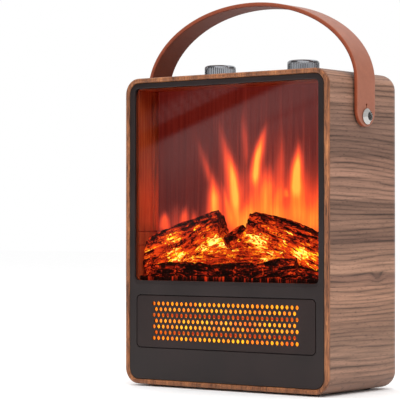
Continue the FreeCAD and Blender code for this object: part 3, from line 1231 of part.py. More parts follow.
def build_loom():
    """Sleeved wires from the terminal block up the back to the mode switch."""
    points = [
        Vector(0, number("terminal_y"), number("floor_z + terminal_high + 5")),
        Vector(0, number("terminal_y"), number("fan_z - 12")),
        Vector(0, 52, number("fan_z + 20")),
        Vector(20, 50, 150),
        Vector(44, 42, 210),
        Vector(number("knob_x"), 30, 262),
        Vector(number("knob_x"), number("switch_radius + loom_radius"), number("inner_top - 10")),
    ]
    loom = doc.addObject("Part::Feature", "loom")
    loom.Shape = bent_tube(points, [25, 30, 60, 60, 25], number("loom_radius"))
    node("wiring_loom", loom)


# ---------------------------------------------------------------- check and export
def check_document():
    """Stops on any failed object or bad shape."""
    doc.recompute()
    failed = [item.Name for item in doc.Objects if "Invalid" in item.State or "Error" in item.State]
    if failed:
        raise SystemExit(f"failed objects: {failed}")
    for name, item in nodes.items():
        shape = item.Shape
        if shape.isNull() or not shape.isValid() or not shape.Solids:
            raise SystemExit(f"bad shape: {name}")
        print(f"{name:22s} solids {len(shape.Solids):3d}  volume {shape.Volume / 1000:9.2f} cm3")


def export():
    os.makedirs("parts", exist_ok=True)
    for name, item in nodes.items():
        item.Shape.exportStep(f"parts/{name}.step")
    print(f"{len(nodes)} nodes written")


for build in (build_housing, build_rim, build_panel, build_glazing, build_grille, build_front_screws,
              build_firebox, build_logs, build_lamps, build_spindle, build_core, build_scroll,
              build_impeller, build_fan_drive, build_controls, build_strap, build_studs,
              build_rear_cover, build_gland, build_base, build_safety, build_loom):
    build()
check_document()
export()
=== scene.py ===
import sys
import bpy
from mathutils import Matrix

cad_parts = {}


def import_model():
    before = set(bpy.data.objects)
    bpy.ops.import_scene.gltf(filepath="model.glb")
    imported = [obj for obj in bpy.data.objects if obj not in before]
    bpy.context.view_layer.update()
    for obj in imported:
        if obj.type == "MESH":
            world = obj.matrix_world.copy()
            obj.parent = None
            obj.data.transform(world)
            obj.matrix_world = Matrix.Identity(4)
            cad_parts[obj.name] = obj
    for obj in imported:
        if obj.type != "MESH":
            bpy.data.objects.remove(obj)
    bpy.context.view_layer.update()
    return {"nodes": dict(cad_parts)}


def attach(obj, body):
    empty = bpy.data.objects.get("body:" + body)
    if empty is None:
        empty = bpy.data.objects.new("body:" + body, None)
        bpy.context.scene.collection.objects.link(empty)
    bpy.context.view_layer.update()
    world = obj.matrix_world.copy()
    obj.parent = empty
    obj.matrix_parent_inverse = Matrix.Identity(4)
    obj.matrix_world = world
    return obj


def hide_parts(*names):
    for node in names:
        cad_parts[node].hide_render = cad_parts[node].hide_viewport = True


"""Tabletop fireplace ceramic heater: finishes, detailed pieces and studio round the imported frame.

Every length in the classes is in millimetres, in the frame's own axes: X right, Y back, Z up.
"""

import logging
import math
from dataclasses import dataclass
from enum import Enum

import bpy
import numpy as np
from mathutils import Matrix, Vector
from mathutils.geometry import tessellate_polygon

MM = 0.001
LOG = logging.getLogger("heater")


# ---------------------------------------------------------------- colours and node graphs


def linear(code: str) -> tuple[float, float, float, float]:
    """Turn an sRGB hex colour into linear red, green, blue and alpha.

    Args:
        code: the colour as "#rrggbb".

    Returns:
        Linear components, with alpha 1.
    """
    parts = [int(code[i : i + 2], 16) / 255 for i in (1, 3, 5)]
    curved = [p / 12.92 if p <= 0.04045 else ((p + 0.055) / 1.055) ** 2.4 for p in parts]
    return (*curved, 1.0)


class Graph:
    """A new material and its node tree."""

    def __init__(self, name: str) -> None:
        """Make an empty material called name.

        Args:
            name: the material's name.
        """
        self.material = bpy.data.materials.new(name)
        self.material.use_nodes = True
        self.tree = self.material.node_tree
        self.tree.nodes.clear()

    def add(self, kind: str, inputs: dict | None = None, **settings: object) -> bpy.types.Node:
        """Add one node with its settings and links.

        Args:
            kind: the node's type, without its ShaderNode prefix.
            inputs: socket name or index to a value, a socket or a node whose first output is used.
            settings: properties of the node; ramp is a list of (position, hex) stops.

        Returns:
            The node.
        """
        node = self.tree.nodes.new("ShaderNode" + kind)
        stops = settings.pop("ramp", None)
        for key, value in settings.items():
            setattr(node, key, value)
        if stops:
            elements = node.color_ramp.elements
            elements.remove(elements[1])
            elements[0].position = stops[0][0]
            elements[0].color = linear(stops[0][1])
            for position, code in stops[1:]:
                elements.new(position).color = linear(code)
        for key, value in (inputs or {}).items():
            if isinstance(key, str):
                socket = next(s for s in node.inputs if s.enabled and s.name == key)
            else:
                socket = node.inputs[key]
            if isinstance(value, bpy.types.Node):
                value = next(s for s in value.outputs if s.enabled)
            if isinstance(value, bpy.types.NodeSocket):
                self.tree.links.new(value, socket)
            elif isinstance(value, str):
                socket.default_value = linear(value)
            else:
                socket.default_value = value
        return node

    def finish(self, surface: bpy.types.Node) -> bpy.types.Material:
        """Join the surface shader to the material's output and return the material."""
        self.add("OutputMaterial", {"Surface": surface})
        return self.material


def stretched(graph: Graph, along: float, across: float, axis: str = "Y") -> bpy.types.Node:
    """Scale object coordinates so that a unit noise has these grain sizes.

    Args:
        graph: the material's graph.
        along: grain length in mm, on axis.
        across: grain width in mm, on the other two axes.
        axis: the axis that the grain runs along.

    Returns:
        A node giving the scaled vector.
    """
    place = graph.add("TexCoord").outputs["Object"]
    scale = [1000 / (along if a == axis else across) for a in "XYZ"]
    return graph.add("VectorMath", {0: place, 1: scale}, operation="MULTIPLY")


# ---------------------------------------------------------------- plain finishes


class Working(Enum):
    """How a metal's surface was left."""

    PLATED = 0
    BRUSHED = 1
    CAST = 2
    SPUN = 3


@dataclass(frozen=True)
class Plastic:
    """Moulded plastic or rubber: a fine spark texture, and sheen a little uneven from the mould."""

    name: str
    colour: str
    shade: str
    roughness: float = 0.5
    grain: float = 0.9
    depth: float = 0.05
    ior: float = 1.5
    specular: float = 0.5

    def material(self) -> bpy.types.Material:
        """Build the material; the spark grain is drawn about three times its real 0.3 mm.

        Returns:
            The material.
        """
        g = Graph(self.name)
        spark = g.add("TexNoise", {
            "Vector": stretched(g, self.grain, self.grain), "Scale": 1.0, "Detail": 3.0,
        })
        cloud = g.add("TexNoise", {"Vector": stretched(g, 45, 45), "Scale": 1.0, "Detail": 2.0})
        tone = g.add("Math", {0: spark, 1: 0.35, 2: cloud}, operation="MULTIPLY_ADD")
        colour = g.add("ValToRGB", {0: tone}, ramp=[(0.45, self.shade), (0.85, self.colour)])
        low, high = self.roughness - 0.06, self.roughness + 0.06
        rough = g.add("MapRange", {
            "Value": cloud, "From Min": 0.3, "From Max": 0.7, "To Min": low, "To Max": high,
        })
        bump = g.add("Bump", {"Strength": 0.6, "Distance": self.depth * MM, "Height": spark})
        return g.finish(
            g.add("BsdfPrincipled", {
                "Base Color": colour, "Roughness": rough, "Normal": bump, "IOR": self.ior,
                "Specular IOR Level": self.specular,
            })
        )


@dataclass(frozen=True)
class Metal:
    """Bare or plated metal: slight tone clouds, and hairlines, rings or cast grain by its working."""

    name: str
    colour: str
    shade: str
    roughness: float = 0.3
    working: Working = Working.PLATED
    axis: str = "X"
    depth: float = 0.02

    def material(self) -> bpy.types.Material:
        """Build the material; hairlines are drawn 0.5 mm wide, coarser than real ones, to show.

        Returns:
            The material.
        """
        g = Graph(self.name)
        sizes = {
            Working.PLATED: (6.0, 6.0), Working.BRUSHED: (30.0, 0.5), Working.CAST: (1.2, 1.2),
            Working.SPUN: (18.0, 0.8),
        }[self.working]
        marks = g.add("TexNoise", {
            "Vector": stretched(g, *sizes, self.axis), "Scale": 1.0, "Detail": 4.0, "Roughness": 0.6,
        })
        cloud = g.add("TexNoise", {"Vector": stretched(g, 25, 25), "Scale": 1.0, "Detail": 2.0})
        tone = g.add("Math", {0: marks, 1: 0.6, 2: cloud}, operation="MULTIPLY_ADD")
        colour = g.add("ValToRGB", {0: tone}, ramp=[(0.5, self.shade), (1.0, self.colour)])
        rough = g.add("MapRange", {
            "Value": marks, "From Min": 0.3, "From Max": 0.7, "To Min": self.roughness * 0.8,
            "To Max": self.roughness * 1.25,
        })
        bump = g.add("Bump", {"Strength": 0.4, "Distance": self.depth * MM, "Height": marks})
        return g.finish(
            g.add("BsdfPrincipled", {
                "Base Color": colour, "Metallic": 1.0, "Roughness": rough, "Normal": bump,
            })
        )


# ---------------------------------------------------------------- special finishes


@dataclass(frozen=True)
class WalnutFilm:
    """Walnut-print PVC film wrapped on moulded ABS: satin, with printed staves, rings and pores."""

    name: str = "walnut_print_film"
    half_x: float = 120.0
    mid_z: float = 152.0
    half_z: float = 150.0
    back_y: float = 63.5
    corner: float = 15.5
    ring: float = 4.6
    stave: float = 33.5
    sway: float = 6.5
    bunch: float = 2.6
    ripple: float = 0.5
    knot_y: float = 22.0
    knot_z: float = 108.0
    knot_size: float = 6.0
    knot_squash: float = 0.6
    knot_fall: float = 2.718
    knot_rings: float = 0.9
    knot_shade: float = -0.35
    stave_shift: float = 7.3
    print_repeat: float = 302.0
    drift: float = 0.004

    def wrap(self, g: Graph) -> tuple[bpy.types.Node, bpy.types.Node, bpy.types.Node]:
        """Unroll the film round the box.

        Args:
            g: the material's graph.

        Returns:
            Nodes for the distance across the grain, along it, and X, all in mm.
        """
        place = g.add("TexCoord").outputs["Object"]
        axes = g.add("SeparateXYZ", {
            0: g.add("VectorMath", {0: place, 1: [1000] * 3}, operation="MULTIPLY"),
        })
        x, y, z = axes.outputs
        inward = g.add(
            "Math", {0: self.half_x, 1: g.add("Math", {0: x}, operation="ABSOLUTE")},
            operation="SUBTRACT",
        )
        rise = g.add(
            "Math", {0: g.add("Math", {0: z, 1: self.mid_z}, operation="SUBTRACT")},
            operation="ABSOLUTE",
        )
        top = g.add("MapRange", {
            "Value": rise, "From Min": self.half_z - self.corner, "From Max": self.half_z, "To Min": 0.0,
            "To Max": 1.0,
        })
        back = g.add("MapRange", {
            "Value": y, "From Min": self.back_y - self.corner, "From Max": self.back_y, "To Min": 0.0,
            "To Max": 1.0,
        })
        not_back = g.add("Math", {0: 1.0, 1: back}, operation="SUBTRACT")
        not_top = g.add("Math", {0: 1.0, 1: top}, operation="SUBTRACT")
        on_top = g.add("Math", {0: top, 1: not_back}, operation="MULTIPLY")
        on_back = g.add("Math", {0: back, 1: not_top}, operation="MULTIPLY")
        across = g.add("Math", {0: inward, 1: on_top, 2: z}, operation="MULTIPLY_ADD")
        along = g.add("Math", {0: inward, 1: on_back, 2: y}, operation="MULTIPLY_ADD")
        return across, along, x

    def grain_point(self, g: Graph, film: tuple, width: float, length: float, seed: float) -> bpy.types.Node:
        """Scale the unrolled film so that a unit noise has this grain.

        Args:
            g: the material's graph.
            film: the nodes that wrap gives.
            width: grain width in mm.
            length: grain length in mm.
            seed: keeps one pattern apart from the next.

        Returns:
            A node giving the scaled vector.
        """
        across, along, x = film
        return g.add("CombineXYZ", {
            0: g.add("Math", {0: across, 1: 1 / width}, operation="MULTIPLY"),
            1: g.add("Math", {0: along, 1: 1 / length}, operation="MULTIPLY"),
            2: g.add("Math", {0: x, 1: self.drift, 2: seed}, operation="MULTIPLY_ADD"),
        })

    def material(self) -> bpy.types.Material:
        """Build the material; pores and fibres are drawn near 0.8 mm, coarser than real, to show.

        Returns:
            The material.
        """
        g = Graph(self.name)
        film = self.wrap(g)
        across, along, _ = film
        # each pattern's grain width and length in mm, its detail and its seed
        sway, ripple, bunch, fibre, streak, pore = (
            g.add("TexNoise", {
                "Vector": self.grain_point(g, film, width, length, seed), "Scale": 1.0, "Detail": detail,
                "Roughness": 0.55,
            })
            for width, length, detail, seed in (
                (75, 230, 1.0, 3.1), (16, 70, 2.0, 8.4), (26, 900, 2.0, 6.6), (0.9, 26, 4.0, 1.7),
                (4, 150, 4.0, 5.2), (0.8, 5, 1.0, 12.9),
            )
        )
        # the printed figure: growth rings swayed by slow noise, closing round one small knot
        over = g.add("Math", {0: across, 1: self.knot_z}, operation="SUBTRACT")
        beside = g.add("Math", {0: along, 1: self.knot_y}, operation="SUBTRACT")
        beside = g.add("Math", {0: beside, 1: self.knot_squash}, operation="MULTIPLY")
        away = g.add(
            "VectorMath", {0: g.add("CombineXYZ", {0: over, 1: beside, 2: 0.0})}, operation="LENGTH",
        )
        reach = g.add("Math", {0: away.outputs["Value"], 1: 1 / self.knot_size}, operation="MULTIPLY")
        square = g.add("Math", {0: reach, 1: reach}, operation="MULTIPLY")
        fall = g.add("Math", {0: square, 1: -1.0}, operation="MULTIPLY")
        knot = g.add("Math", {0: self.knot_fall, 1: fall}, operation="POWER")
        # each stave has its own run of rings, its own tone and a thin joint
        count = g.add("Math", {0: across, 1: 1 / self.stave}, operation="MULTIPLY")
        number = g.add("Math", {0: count}, operation="FLOOR")
        own = g.add("TexWhiteNoise", {"W": number}, noise_dimensions="1D").outputs["Value"]
        joint = g.add(
            "Math", {0: g.add("Math", {0: count}, operation="FRACT"), 1: 0.5}, operation="SUBTRACT",
        )
        joint = g.add("Math", {0: joint}, operation="ABSOLUTE")
        seam = g.add("MapRange", {
            "Value": joint, "From Min": 0.486, "From Max": 0.496, "To Min": 1.0, "To Max": 0.66,
        })
        phase = g.add("Math", {0: across, 1: 1 / self.ring}, operation="MULTIPLY")
        for wave, size in (
            (sway, self.sway), (bunch, self.bunch), (ripple, self.ripple), (knot, self.knot_rings),
            (own, self.stave_shift),
        ):
            phase = g.add("Math", {0: wave, 1: size, 2: phase}, operation="MULTIPLY_ADD")
        ring = g.add("Math", {0: phase}, operation="FRACT")
        line = g.add(
            "ValToRGB", {0: ring},
            ramp=[
                (0.0, "#77777a"), (0.1, "#b4b4b6"), (0.24, "#e4e4e4"), (0.5, "#ffffff"),
                (0.86, "#e2e2e2"), (1.0, "#7c7c80"),
            ],
        )
        # staves of differing tone, as the printed boards lie one above another
        stave = g.add(
            "ValToRGB", {0: g.add("Math", {0: across, 1: 1 / self.print_repeat}, operation="MULTIPLY")},
            ramp=[
                (0.0, "#83604f"), (0.12, "#93705c"), (0.22, "#8a6652"), (0.315, "#9c735c"),
                (0.365, "#7d5a4a"), (0.375, "#a17962"), (0.462, "#8b6754"), (0.468, "#6d4f41"),
                (0.52, "#96705c"), (0.59, "#6b4f41"), (0.6, "#9b7460"), (0.725, "#8d6856"),
                (0.735, "#6f5244"), (0.84, "#806152"), (0.97, "#99735f"),
            ],
        )
        depth = g.add("MapRange", {
            "Value": streak, "From Min": 0.35, "From Max": 0.65, "To Min": 0.9, "To Max": 0.3,
        })
        wood = g.add(
            "Mix", {"Factor": depth, "A": stave, "B": line}, data_type="RGBA", blend_type="MULTIPLY",
        )
        band = g.add("MapRange", {
            "Value": streak, "From Min": 0.3, "From Max": 0.7, "To Min": 0.72, "To Max": 1.2,
        })
        fine = g.add("MapRange", {
            "Value": fibre, "From Min": 0.3, "From Max": 0.7, "To Min": 0.84, "To Max": 1.14,
        })
        light = g.add("Math", {0: band, 1: fine}, operation="MULTIPLY")
        open_pore = g.add("MapRange", {
            "Value": pore, "From Min": 0.6, "From Max": 0.72, "To Min": 1.0, "To Max": 0.62,
        })
        tone = g.add("MapRange", {
            "Value": own, "From Min": 0.0, "From Max": 1.0, "To Min": 0.9, "To Max": 1.1,
        })
        for shade in (open_pore, seam, tone):
            light = g.add("Math", {0: light, 1: shade}, operation="MULTIPLY")
        dark_knot = g.add("Math", {0: knot, 1: self.knot_shade, 2: 1.0}, operation="MULTIPLY_ADD")
        light = g.add("Math", {0: dark_knot, 1: light}, operation="MULTIPLY")
        colour = g.add("VectorMath", {0: wood, "Scale": light}, operation="SCALE")
        rough = g.add("MapRange", {
            "Value": fibre, "From Min": 0.3, "From Max": 0.7, "To Min": 0.42, "To Max": 0.56,
        })
        height = g.add("Math", {0: open_pore, 1: 0.5, 2: fibre}, operation="MULTIPLY_ADD")
        bump = g.add("Bump", {"Strength": 0.35, "Distance": 0.08 * MM, "Height": height})
        return g.finish(
            g.add("BsdfPrincipled", {
                "Base Color": colour, "Roughness": rough, "Normal": bump, "IOR": 1.5,
                "Specular IOR Level": 0.25,
            })
        )


@dataclass(frozen=True)
class StainedWood:
    """Stained timber print on trim or board: grain along one axis and dark ticks."""

    name: str
    light: str
    mid: str
    dark: str
    axis: str = "Z"
    width: float = 1.6
    length: float = 40.0
    roughness: float = 0.45
    tick: float = 0.55

    def material(self) -> bpy.types.Material:
        """Build the material; the ticks are drawn 1 mm wide, coarser than real, to show.

        Returns:
            The material.
        """
        g = Graph(self.name)
        fibre = g.add("TexNoise", {
            "Vector": stretched(g, self.length, self.width, self.axis), "Scale": 1.0, "Detail": 5.0,
            "Roughness": 0.62,
        })
        broad = g.add("TexNoise", {
            "Vector": stretched(g, self.length * 4, self.width * 7, self.axis), "Scale": 1.0,
            "Detail": 2.0,
        })
        ticks = g.add("TexNoise", {
            "Vector": stretched(g, self.length * 0.3, self.width * 0.7, self.axis), "Scale": 1.0,
            "Detail": 1.0,
        })
        tone = g.add(
            "Math", {0: fibre, 1: 0.6, 2: g.add("Math", {0: broad, 1: 0.4}, operation="MULTIPLY")},
            operation="MULTIPLY_ADD",
        )
        colour = g.add("ValToRGB", {0: tone}, ramp=[(0.36, self.dark), (0.5, self.mid), (0.66, self.light)])
        mark = g.add("MapRange", {
            "Value": ticks, "From Min": 0.56, "From Max": 0.68, "To Min": 1.0, "To Max": self.tick,
        })
        wood = g.add("VectorMath", {0: colour, "Scale": mark}, operation="SCALE")
        bump = g.add("Bump", {"Strength": 0.4, "Distance": 0.1 * MM, "Height": fibre})
        return g.finish(
            g.add("BsdfPrincipled", {
                "Base Color": wood, "Roughness": self.roughness, "Normal": bump, "IOR": 1.5,
                "Specular IOR Level": 0.4,
            })
        )


@dataclass(frozen=True)
class TanLeather:
    """Vegetable-tanned cowhide, pressed smooth: tan outside, darker flesh side, burnished edges."""

    name: str = "vegetable_tanned_leather"

    def material(self) -> bpy.types.Material:
        """Build the material; the hide's pebble is drawn 1.3 mm, about twice its real size.

        Returns:
            The material.
        """
        g = Graph(self.name)
        side = g.add("Attribute", attribute_name="side").outputs["Fac"]
        base = g.add(
            "ValToRGB", {0: side},
            ramp=[
                (0.0, "#955b46"), (0.3, "#925843"), (0.42, "#8f4426"), (0.6, "#84391e"),
                (0.72, "#74392a"), (1.0, "#6a301c"),
            ],
        )
        cell = g.add(
            "TexVoronoi", {"Vector": stretched(g, 1.3, 1.3), "Scale": 1.0}, feature="DISTANCE_TO_EDGE",
        )
        crease = g.add("TexNoise", {"Vector": stretched(g, 9, 9), "Scale": 1.0, "Detail": 4.0})
        fine = g.add("TexNoise", {"Vector": stretched(g, 2.2, 1.0, "Z"), "Scale": 1.0, "Detail": 3.0})
        shade = g.add("MapRange", {
            "Value": crease, "From Min": 0.3, "From Max": 0.7, "To Min": 0.9, "To Max": 1.08,
        })
        dapple = g.add("MapRange", {
            "Value": fine, "From Min": 0.3, "From Max": 0.7, "To Min": 0.94, "To Max": 1.05,
        })
        light = g.add("Math", {0: shade, 1: dapple}, operation="MULTIPLY")
        colour = g.add("VectorMath", {0: base, "Scale": light}, operation="SCALE")
        height = g.add("Math", {0: cell, 1: 0.6, 2: fine}, operation="MULTIPLY_ADD")
        bump = g.add("Bump", {"Strength": 0.35, "Distance": 0.12 * MM, "Height": height})
        rough = g.add("MapRange", {
            "Value": side, "From Min": 0.3, "From Max": 0.9, "To Min": 0.46, "To Max": 0.75,
        })
        return g.finish(
            g.add("BsdfPrincipled", {
                "Base Color": colour, "Roughness": rough, "Normal": bump, "IOR": 1.48,
                "Sheen Weight": 0.03, "Sheen Roughness": 0.4, "Specular IOR Level": 0.4,
            })
        )


@dataclass(frozen=True)
class SmokedGlass:
    """Toughened float glass, smoked: it takes about a third of the light that comes through."""

    name: str = "smoked_float_glass"
    specular: float = 0.3

    def material(self) -> bpy.types.Material:
        """Build the material, with a faint cloud in its tint.

        Returns:
            The material.
        """
        g = Graph(self.name)
        haze = g.add("TexNoise", {"Vector": stretched(g, 60, 20, "X"), "Scale": 1.0, "Detail": 2.0})
        tint = g.add("ValToRGB", {0: haze}, ramp=[(0.3, "#d8d4d3"), (0.7, "#dcd9d8")])
        return g.finish(
            g.add("BsdfPrincipled", {
                "Base Color": tint, "Roughness": 0.0, "IOR": 1.5, "Transmission Weight": 1.0,
                "Specular IOR Level": self.specular,
            })
        )


@dataclass(frozen=True)
class GlowingResin:
    """Moulded fibreglass logs lit from inside: black painted crust over glowing red and yellow."""

    name: str = "lit_fibreglass_logs"
    strength: float = 2.3

    def material(self) -> bpy.types.Material:
        """Build the material; heat is the surface's own attribute, and fibre lines follow the log.

        Returns:
            The material.
        """
        g = Graph(self.name)
        heat = g.add("Attribute", attribute_name="ember_heat").outputs["Fac"]
        grain = g.add("Attribute", attribute_name="grain").outputs["Vector"]
        fibre = g.add("TexNoise", {
            "Vector": g.add("VectorMath", {0: grain, 1: (0.035, 0.28, 0.6)}, operation="MULTIPLY"),
            "Scale": 1.0, "Detail": 5.0, "Roughness": 0.62, "Distortion": 0.6,
        })
        chip = g.add("TexNoise", {
            "Vector": g.add("VectorMath", {0: grain, 1: (0.09, 0.22, 0.5)}, operation="MULTIPLY"),
            "Scale": 1.0, "Detail": 4.0, "Roughness": 0.6, "Distortion": 0.8,
        })
        # charred cracks: thin black lines where the chip noise crosses its middle
        crack = g.add(
            "Math", {0: g.add("Math", {0: chip, 1: 0.5}, operation="SUBTRACT")}, operation="ABSOLUTE",
        )
        lift = g.add("MapRange", {
            "Value": fibre, "From Min": 0.32, "From Max": 0.68, "To Min": -0.2, "To Max": 0.22,
        })
        char = g.add("MapRange", {
            "Value": crack, "From Min": 0.0, "From Max": 0.035, "To Min": -0.4, "To Max": 0.0,
        })
        split = g.add(
            "Math", {0: g.add("Math", {0: fibre, 1: 0.47}, operation="SUBTRACT")}, operation="ABSOLUTE",
        )
        line = g.add("MapRange", {
            "Value": split, "From Min": 0.0, "From Max": 0.022, "To Min": -0.3, "To Max": 0.0,
        })
        seam = g.add(
            "Math", {0: g.add("Math", {0: chip, 1: 0.56}, operation="SUBTRACT")}, operation="ABSOLUTE",
        )
        red = g.add("MapRange", {
            "Value": seam, "From Min": 0.0, "From Max": 0.06, "To Min": 0.34, "To Max": 0.04,
        })
        total = g.add("Math", {0: heat, 1: lift}, operation="ADD")
        for change in (red, char, line):
            total = g.add("Math", {0: total, 1: change}, operation="ADD", use_clamp=change is line)
        glow = g.add(
            "ValToRGB", {0: total},
            ramp=[
                (0.0, "#080201"), (0.22, "#1c0402"), (0.33, "#641206"), (0.43, "#a5230a"),
                (0.62, "#c8380e"), (0.8, "#e85c10"), (0.86, "#ffb412"), (0.94, "#ffe620"),
                (1.0, "#fff27a"),
            ],
        )
        bark = g.add("ValToRGB", {0: chip}, ramp=[(0.35, "#0c0402"), (0.7, "#2e0f06")])
        bump = g.add("Bump", {"Strength": 0.4, "Distance": 0.7 * MM, "Height": chip})
        return g.finish(
            g.add("BsdfPrincipled", {
                "Base Color": bark, "Roughness": 0.85, "Normal": bump, "IOR": 1.5,
                "Specular IOR Level": 0.08, "Emission Color": glow, "Emission Strength": self.strength,
            })
        )


@dataclass(frozen=True)
class FlameFilm:
    """Frosted acrylic screen lit from behind: soft vertical flame light on a dark red ground."""

    name: str = "frosted_flame_screen"
    strength: float = 1.9

    def material(self) -> bpy.types.Material:
        """Build the material; heat is the light's own attribute, with faint vertical threads.

        Returns:
            The material.
        """
        g = Graph(self.name)
        heat = g.add("Attribute", attribute_name="ember_heat").outputs["Fac"]
        thread = g.add("TexNoise", {"Vector": stretched(g, 70, 2.2, "Z"), "Scale": 1.0, "Detail": 4.0})
        lift = g.add("MapRange", {
            "Value": thread, "From Min": 0.3, "From Max": 0.7, "To Min": -0.06, "To Max": 0.06,
        })
        total = g.add("Math", {0: heat, 1: lift}, operation="ADD", use_clamp=True)
        glow = g.add(
            "ValToRGB", {0: total},
            ramp=[
                (0.0, "#4a0f0b"), (0.12, "#5c1812"), (0.28, "#882b1f"), (0.45, "#c83c26"),
                (0.62, "#f5502a"), (0.8, "#ff7c2c"), (1.0, "#ffb242"),
            ],
        )
        return g.finish(
            g.add("BsdfPrincipled", {
                "Base Color": "#0c0403", "Roughness": 0.8, "IOR": 1.49, "Specular IOR Level": 0.0,
                "Emission Color": glow, "Emission Strength": self.strength,
            })
        )


@dataclass(frozen=True)
class GlowPart:
    """A part shown glowing: mottled emission over its own bare colour. On the lamp lenses it is their own
    light; on the heater core's fins, ceramic, frame and bars it is painted glow, as those parts are no
    lamps.
    """

    name: str
    colour: str
    dim_glow: str
    mid_glow: str
    bright_glow: str
    strength: float = 1.0
    patch: float = 16.0

    def material(self) -> bpy.types.Material:
        """Build the material, with brighter patches of glow about patch mm wide.

        Returns:
            The material.
        """
        g = Graph(self.name)
        patches = g.add("TexNoise", {
            "Vector": stretched(g, self.patch, self.patch), "Scale": 1.0, "Detail": 2.0,
        })
        grain = g.add("TexNoise", {"Vector": stretched(g, 3, 3), "Scale": 1.0, "Detail": 3.0})
        tone = g.add("Math", {0: grain, 1: 0.25, 2: patches}, operation="MULTIPLY_ADD")
        glow = g.add("ValToRGB", {0: tone}, ramp=[(0.42, self.dim_glow), (0.6, self.mid_glow), (0.8, self.bright_glow)])
        return g.finish(
            g.add("BsdfPrincipled", {
                "Base Color": self.colour, "Roughness": 0.6, "Emission Color": glow,
                "Emission Strength": self.strength,
            })
        )


@dataclass(frozen=True)
class Woven:
    """Braided glass-fibre sleeve or wound enamelled wire: fine ridges across the strand."""

    name: str
    colour: str
    shade: str
    pitch: float
    metallic: float = 0.0
    roughness: float = 0.6

    def material(self) -> bpy.types.Material:
        """Build the material with two crossing sets of ridges, pitch mm apart.

        Returns:
            The material.
        """
        g = Graph(self.name)
        place = stretched(g, 1.0, 1.0)
        scale = 2 * math.pi / self.pitch / 20
        first = g.add(
            "TexWave", {"Vector": place, "Scale": scale, "Distortion": 0.6}, bands_direction="DIAGONAL",
        )
        second = g.add("TexWave", {"Vector": place, "Scale": scale, "Distortion": 0.6}, bands_direction="X")
        weave = g.add("Math", {0: first, 1: second}, operation="MULTIPLY")
        colour = g.add("ValToRGB", {0: weave}, ramp=[(0.1, self.shade), (0.7, self.colour)])
        bump = g.add("Bump", {"Strength": 0.5, "Distance": 0.2 * MM, "Height": weave})
        return g.finish(
            g.add("BsdfPrincipled", {
                "Base Color": colour, "Roughness": self.roughness, "Metallic": self.metallic,
                "Normal": bump,
            })
        )


# ---------------------------------------------------------------- noise and meshes


def lattice(cells: np.ndarray, seed: int) -> np.ndarray:
    """Give each whole-numbered cell a fixed value from 0 to 1.

    Args:
        cells: an N by 3 array of whole numbers.
        seed: which of the many patterns.

    Returns:
        N values.
    """
    c = cells.astype(np.int64)
    h = (c[:, 0] * 374761393 + c[:, 1] * 668265263 + c[:, 2] * 1442695041 + seed * 1274126177) & 0xFFFFFFFF
    h = ((h ^ (h >> 13)) * 1103515245) & 0xFFFFFFFF
    h = ((h ^ (h >> 15)) * 2654435761) & 0xFFFFFFFF
    return ((h ^ (h >> 16)) & 0xFFFFFF) / 0xFFFFFF


def smooth_noise(points: np.ndarray, seed: int, octaves: int = 3, gain: float = 0.5) -> np.ndarray:
    """Sum octaves of value noise.

    Args:
        points: an N by 3 array, one noise cell to a unit.
        seed: which pattern.
        octaves: how many layers, each twice as fine.
        gain: each layer's strength against the one before.

    Returns:
        N values near -1 to 1.
    """
    total, weight, size = np.zeros(len(points)), 1.0, 0.0
    for octave in range(octaves):
        p = points * 2**octave + 17.3 * octave
        base = np.floor(p)
        f = p - base
        f = f * f * f * (f * (f * 6 - 15) + 10)
        value = np.zeros(len(p))
        for corner in range(8):
            offset = np.array([corner & 1, corner >> 1 & 1, corner >> 2 & 1])
            share = np.prod(np.where(offset == 1, f, 1 - f), axis=1)
            value += share * lattice(base + offset, seed + octave)
        total += weight * (value * 2 - 1)
        size += weight
        weight *= gain
    return total / size * 1.4


def step(low: float, high: float, value: np.ndarray) -> np.ndarray:
    """Ease from 0 at low to 1 at high."""
    t = np.clip((value - low) / (high - low), 0, 1)
    return t * t * (3 - 2 * t)


def solid(
    name: str, points: np.ndarray, faces: list, material: bpy.types.Material,
    body: str = "casing", replaces: tuple[str, ...] = (), crease: float = 32.0,
    attributes: dict | None = None, flat: bool = False,
) -> bpy.types.Object:
    """Make a piece from points and faces.

    Args:
        name: the piece's name.
        points: N by 3, in mm.
        faces: lists of point numbers.
        material: its finish.
        body: the CAD body that it rides on.
        replaces: the CAD nodes that it stands for.
        crease: edges that turn by more than this many degrees stay sharp.
        attributes: name to values, N floats or N by 3.
        flat: large faces keep their own direction, so that only the eased edges look round.

    Returns:
        The object.
    """
    mesh = bpy.data.meshes.new(name)
    mesh.from_pydata((np.asarray(points, float) * MM).tolist(), [], faces)
    mesh.validate()
    for key, values in (attributes or {}).items():
        values = np.asarray(values, np.float32)
        kind, field_name = ("FLOAT", "value") if values.ndim == 1 else ("FLOAT_VECTOR", "vector")
        mesh.attributes.new(key, kind, "POINT").data.foreach_set(field_name, values.ravel())
    mesh.materials.append(material)
    mesh.shade_smooth()
    mesh.set_sharp_from_angle(angle=math.radians(crease))
    piece = bpy.data.objects.new(name, mesh)
    bpy.context.scene.collection.objects.link(piece)
    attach(piece, body)
    if replaces:
        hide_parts(*replaces)
    if flat:
        piece.modifiers.new("even_flats", "WEIGHTED_NORMAL").keep_sharp = True
    return piece


def strips(rows: int, columns: int, wrap: bool = True) -> list[list[int]]:
    """Quads between rows of points, each row a ring when wrap is true.

    Args:
        rows: how many rows of points.
        columns: how many points in a row.
        wrap: whether a row closes into a ring.

    Returns:
        The quads.
    """
    span = columns if wrap else columns - 1
    return [
        [
            r * columns + c, r * columns + (c + 1) % columns, (r + 1) * columns + (c + 1) % columns,
            (r + 1) * columns + c,
        ]
        for r in range(rows - 1)
        for c in range(span)
    ]


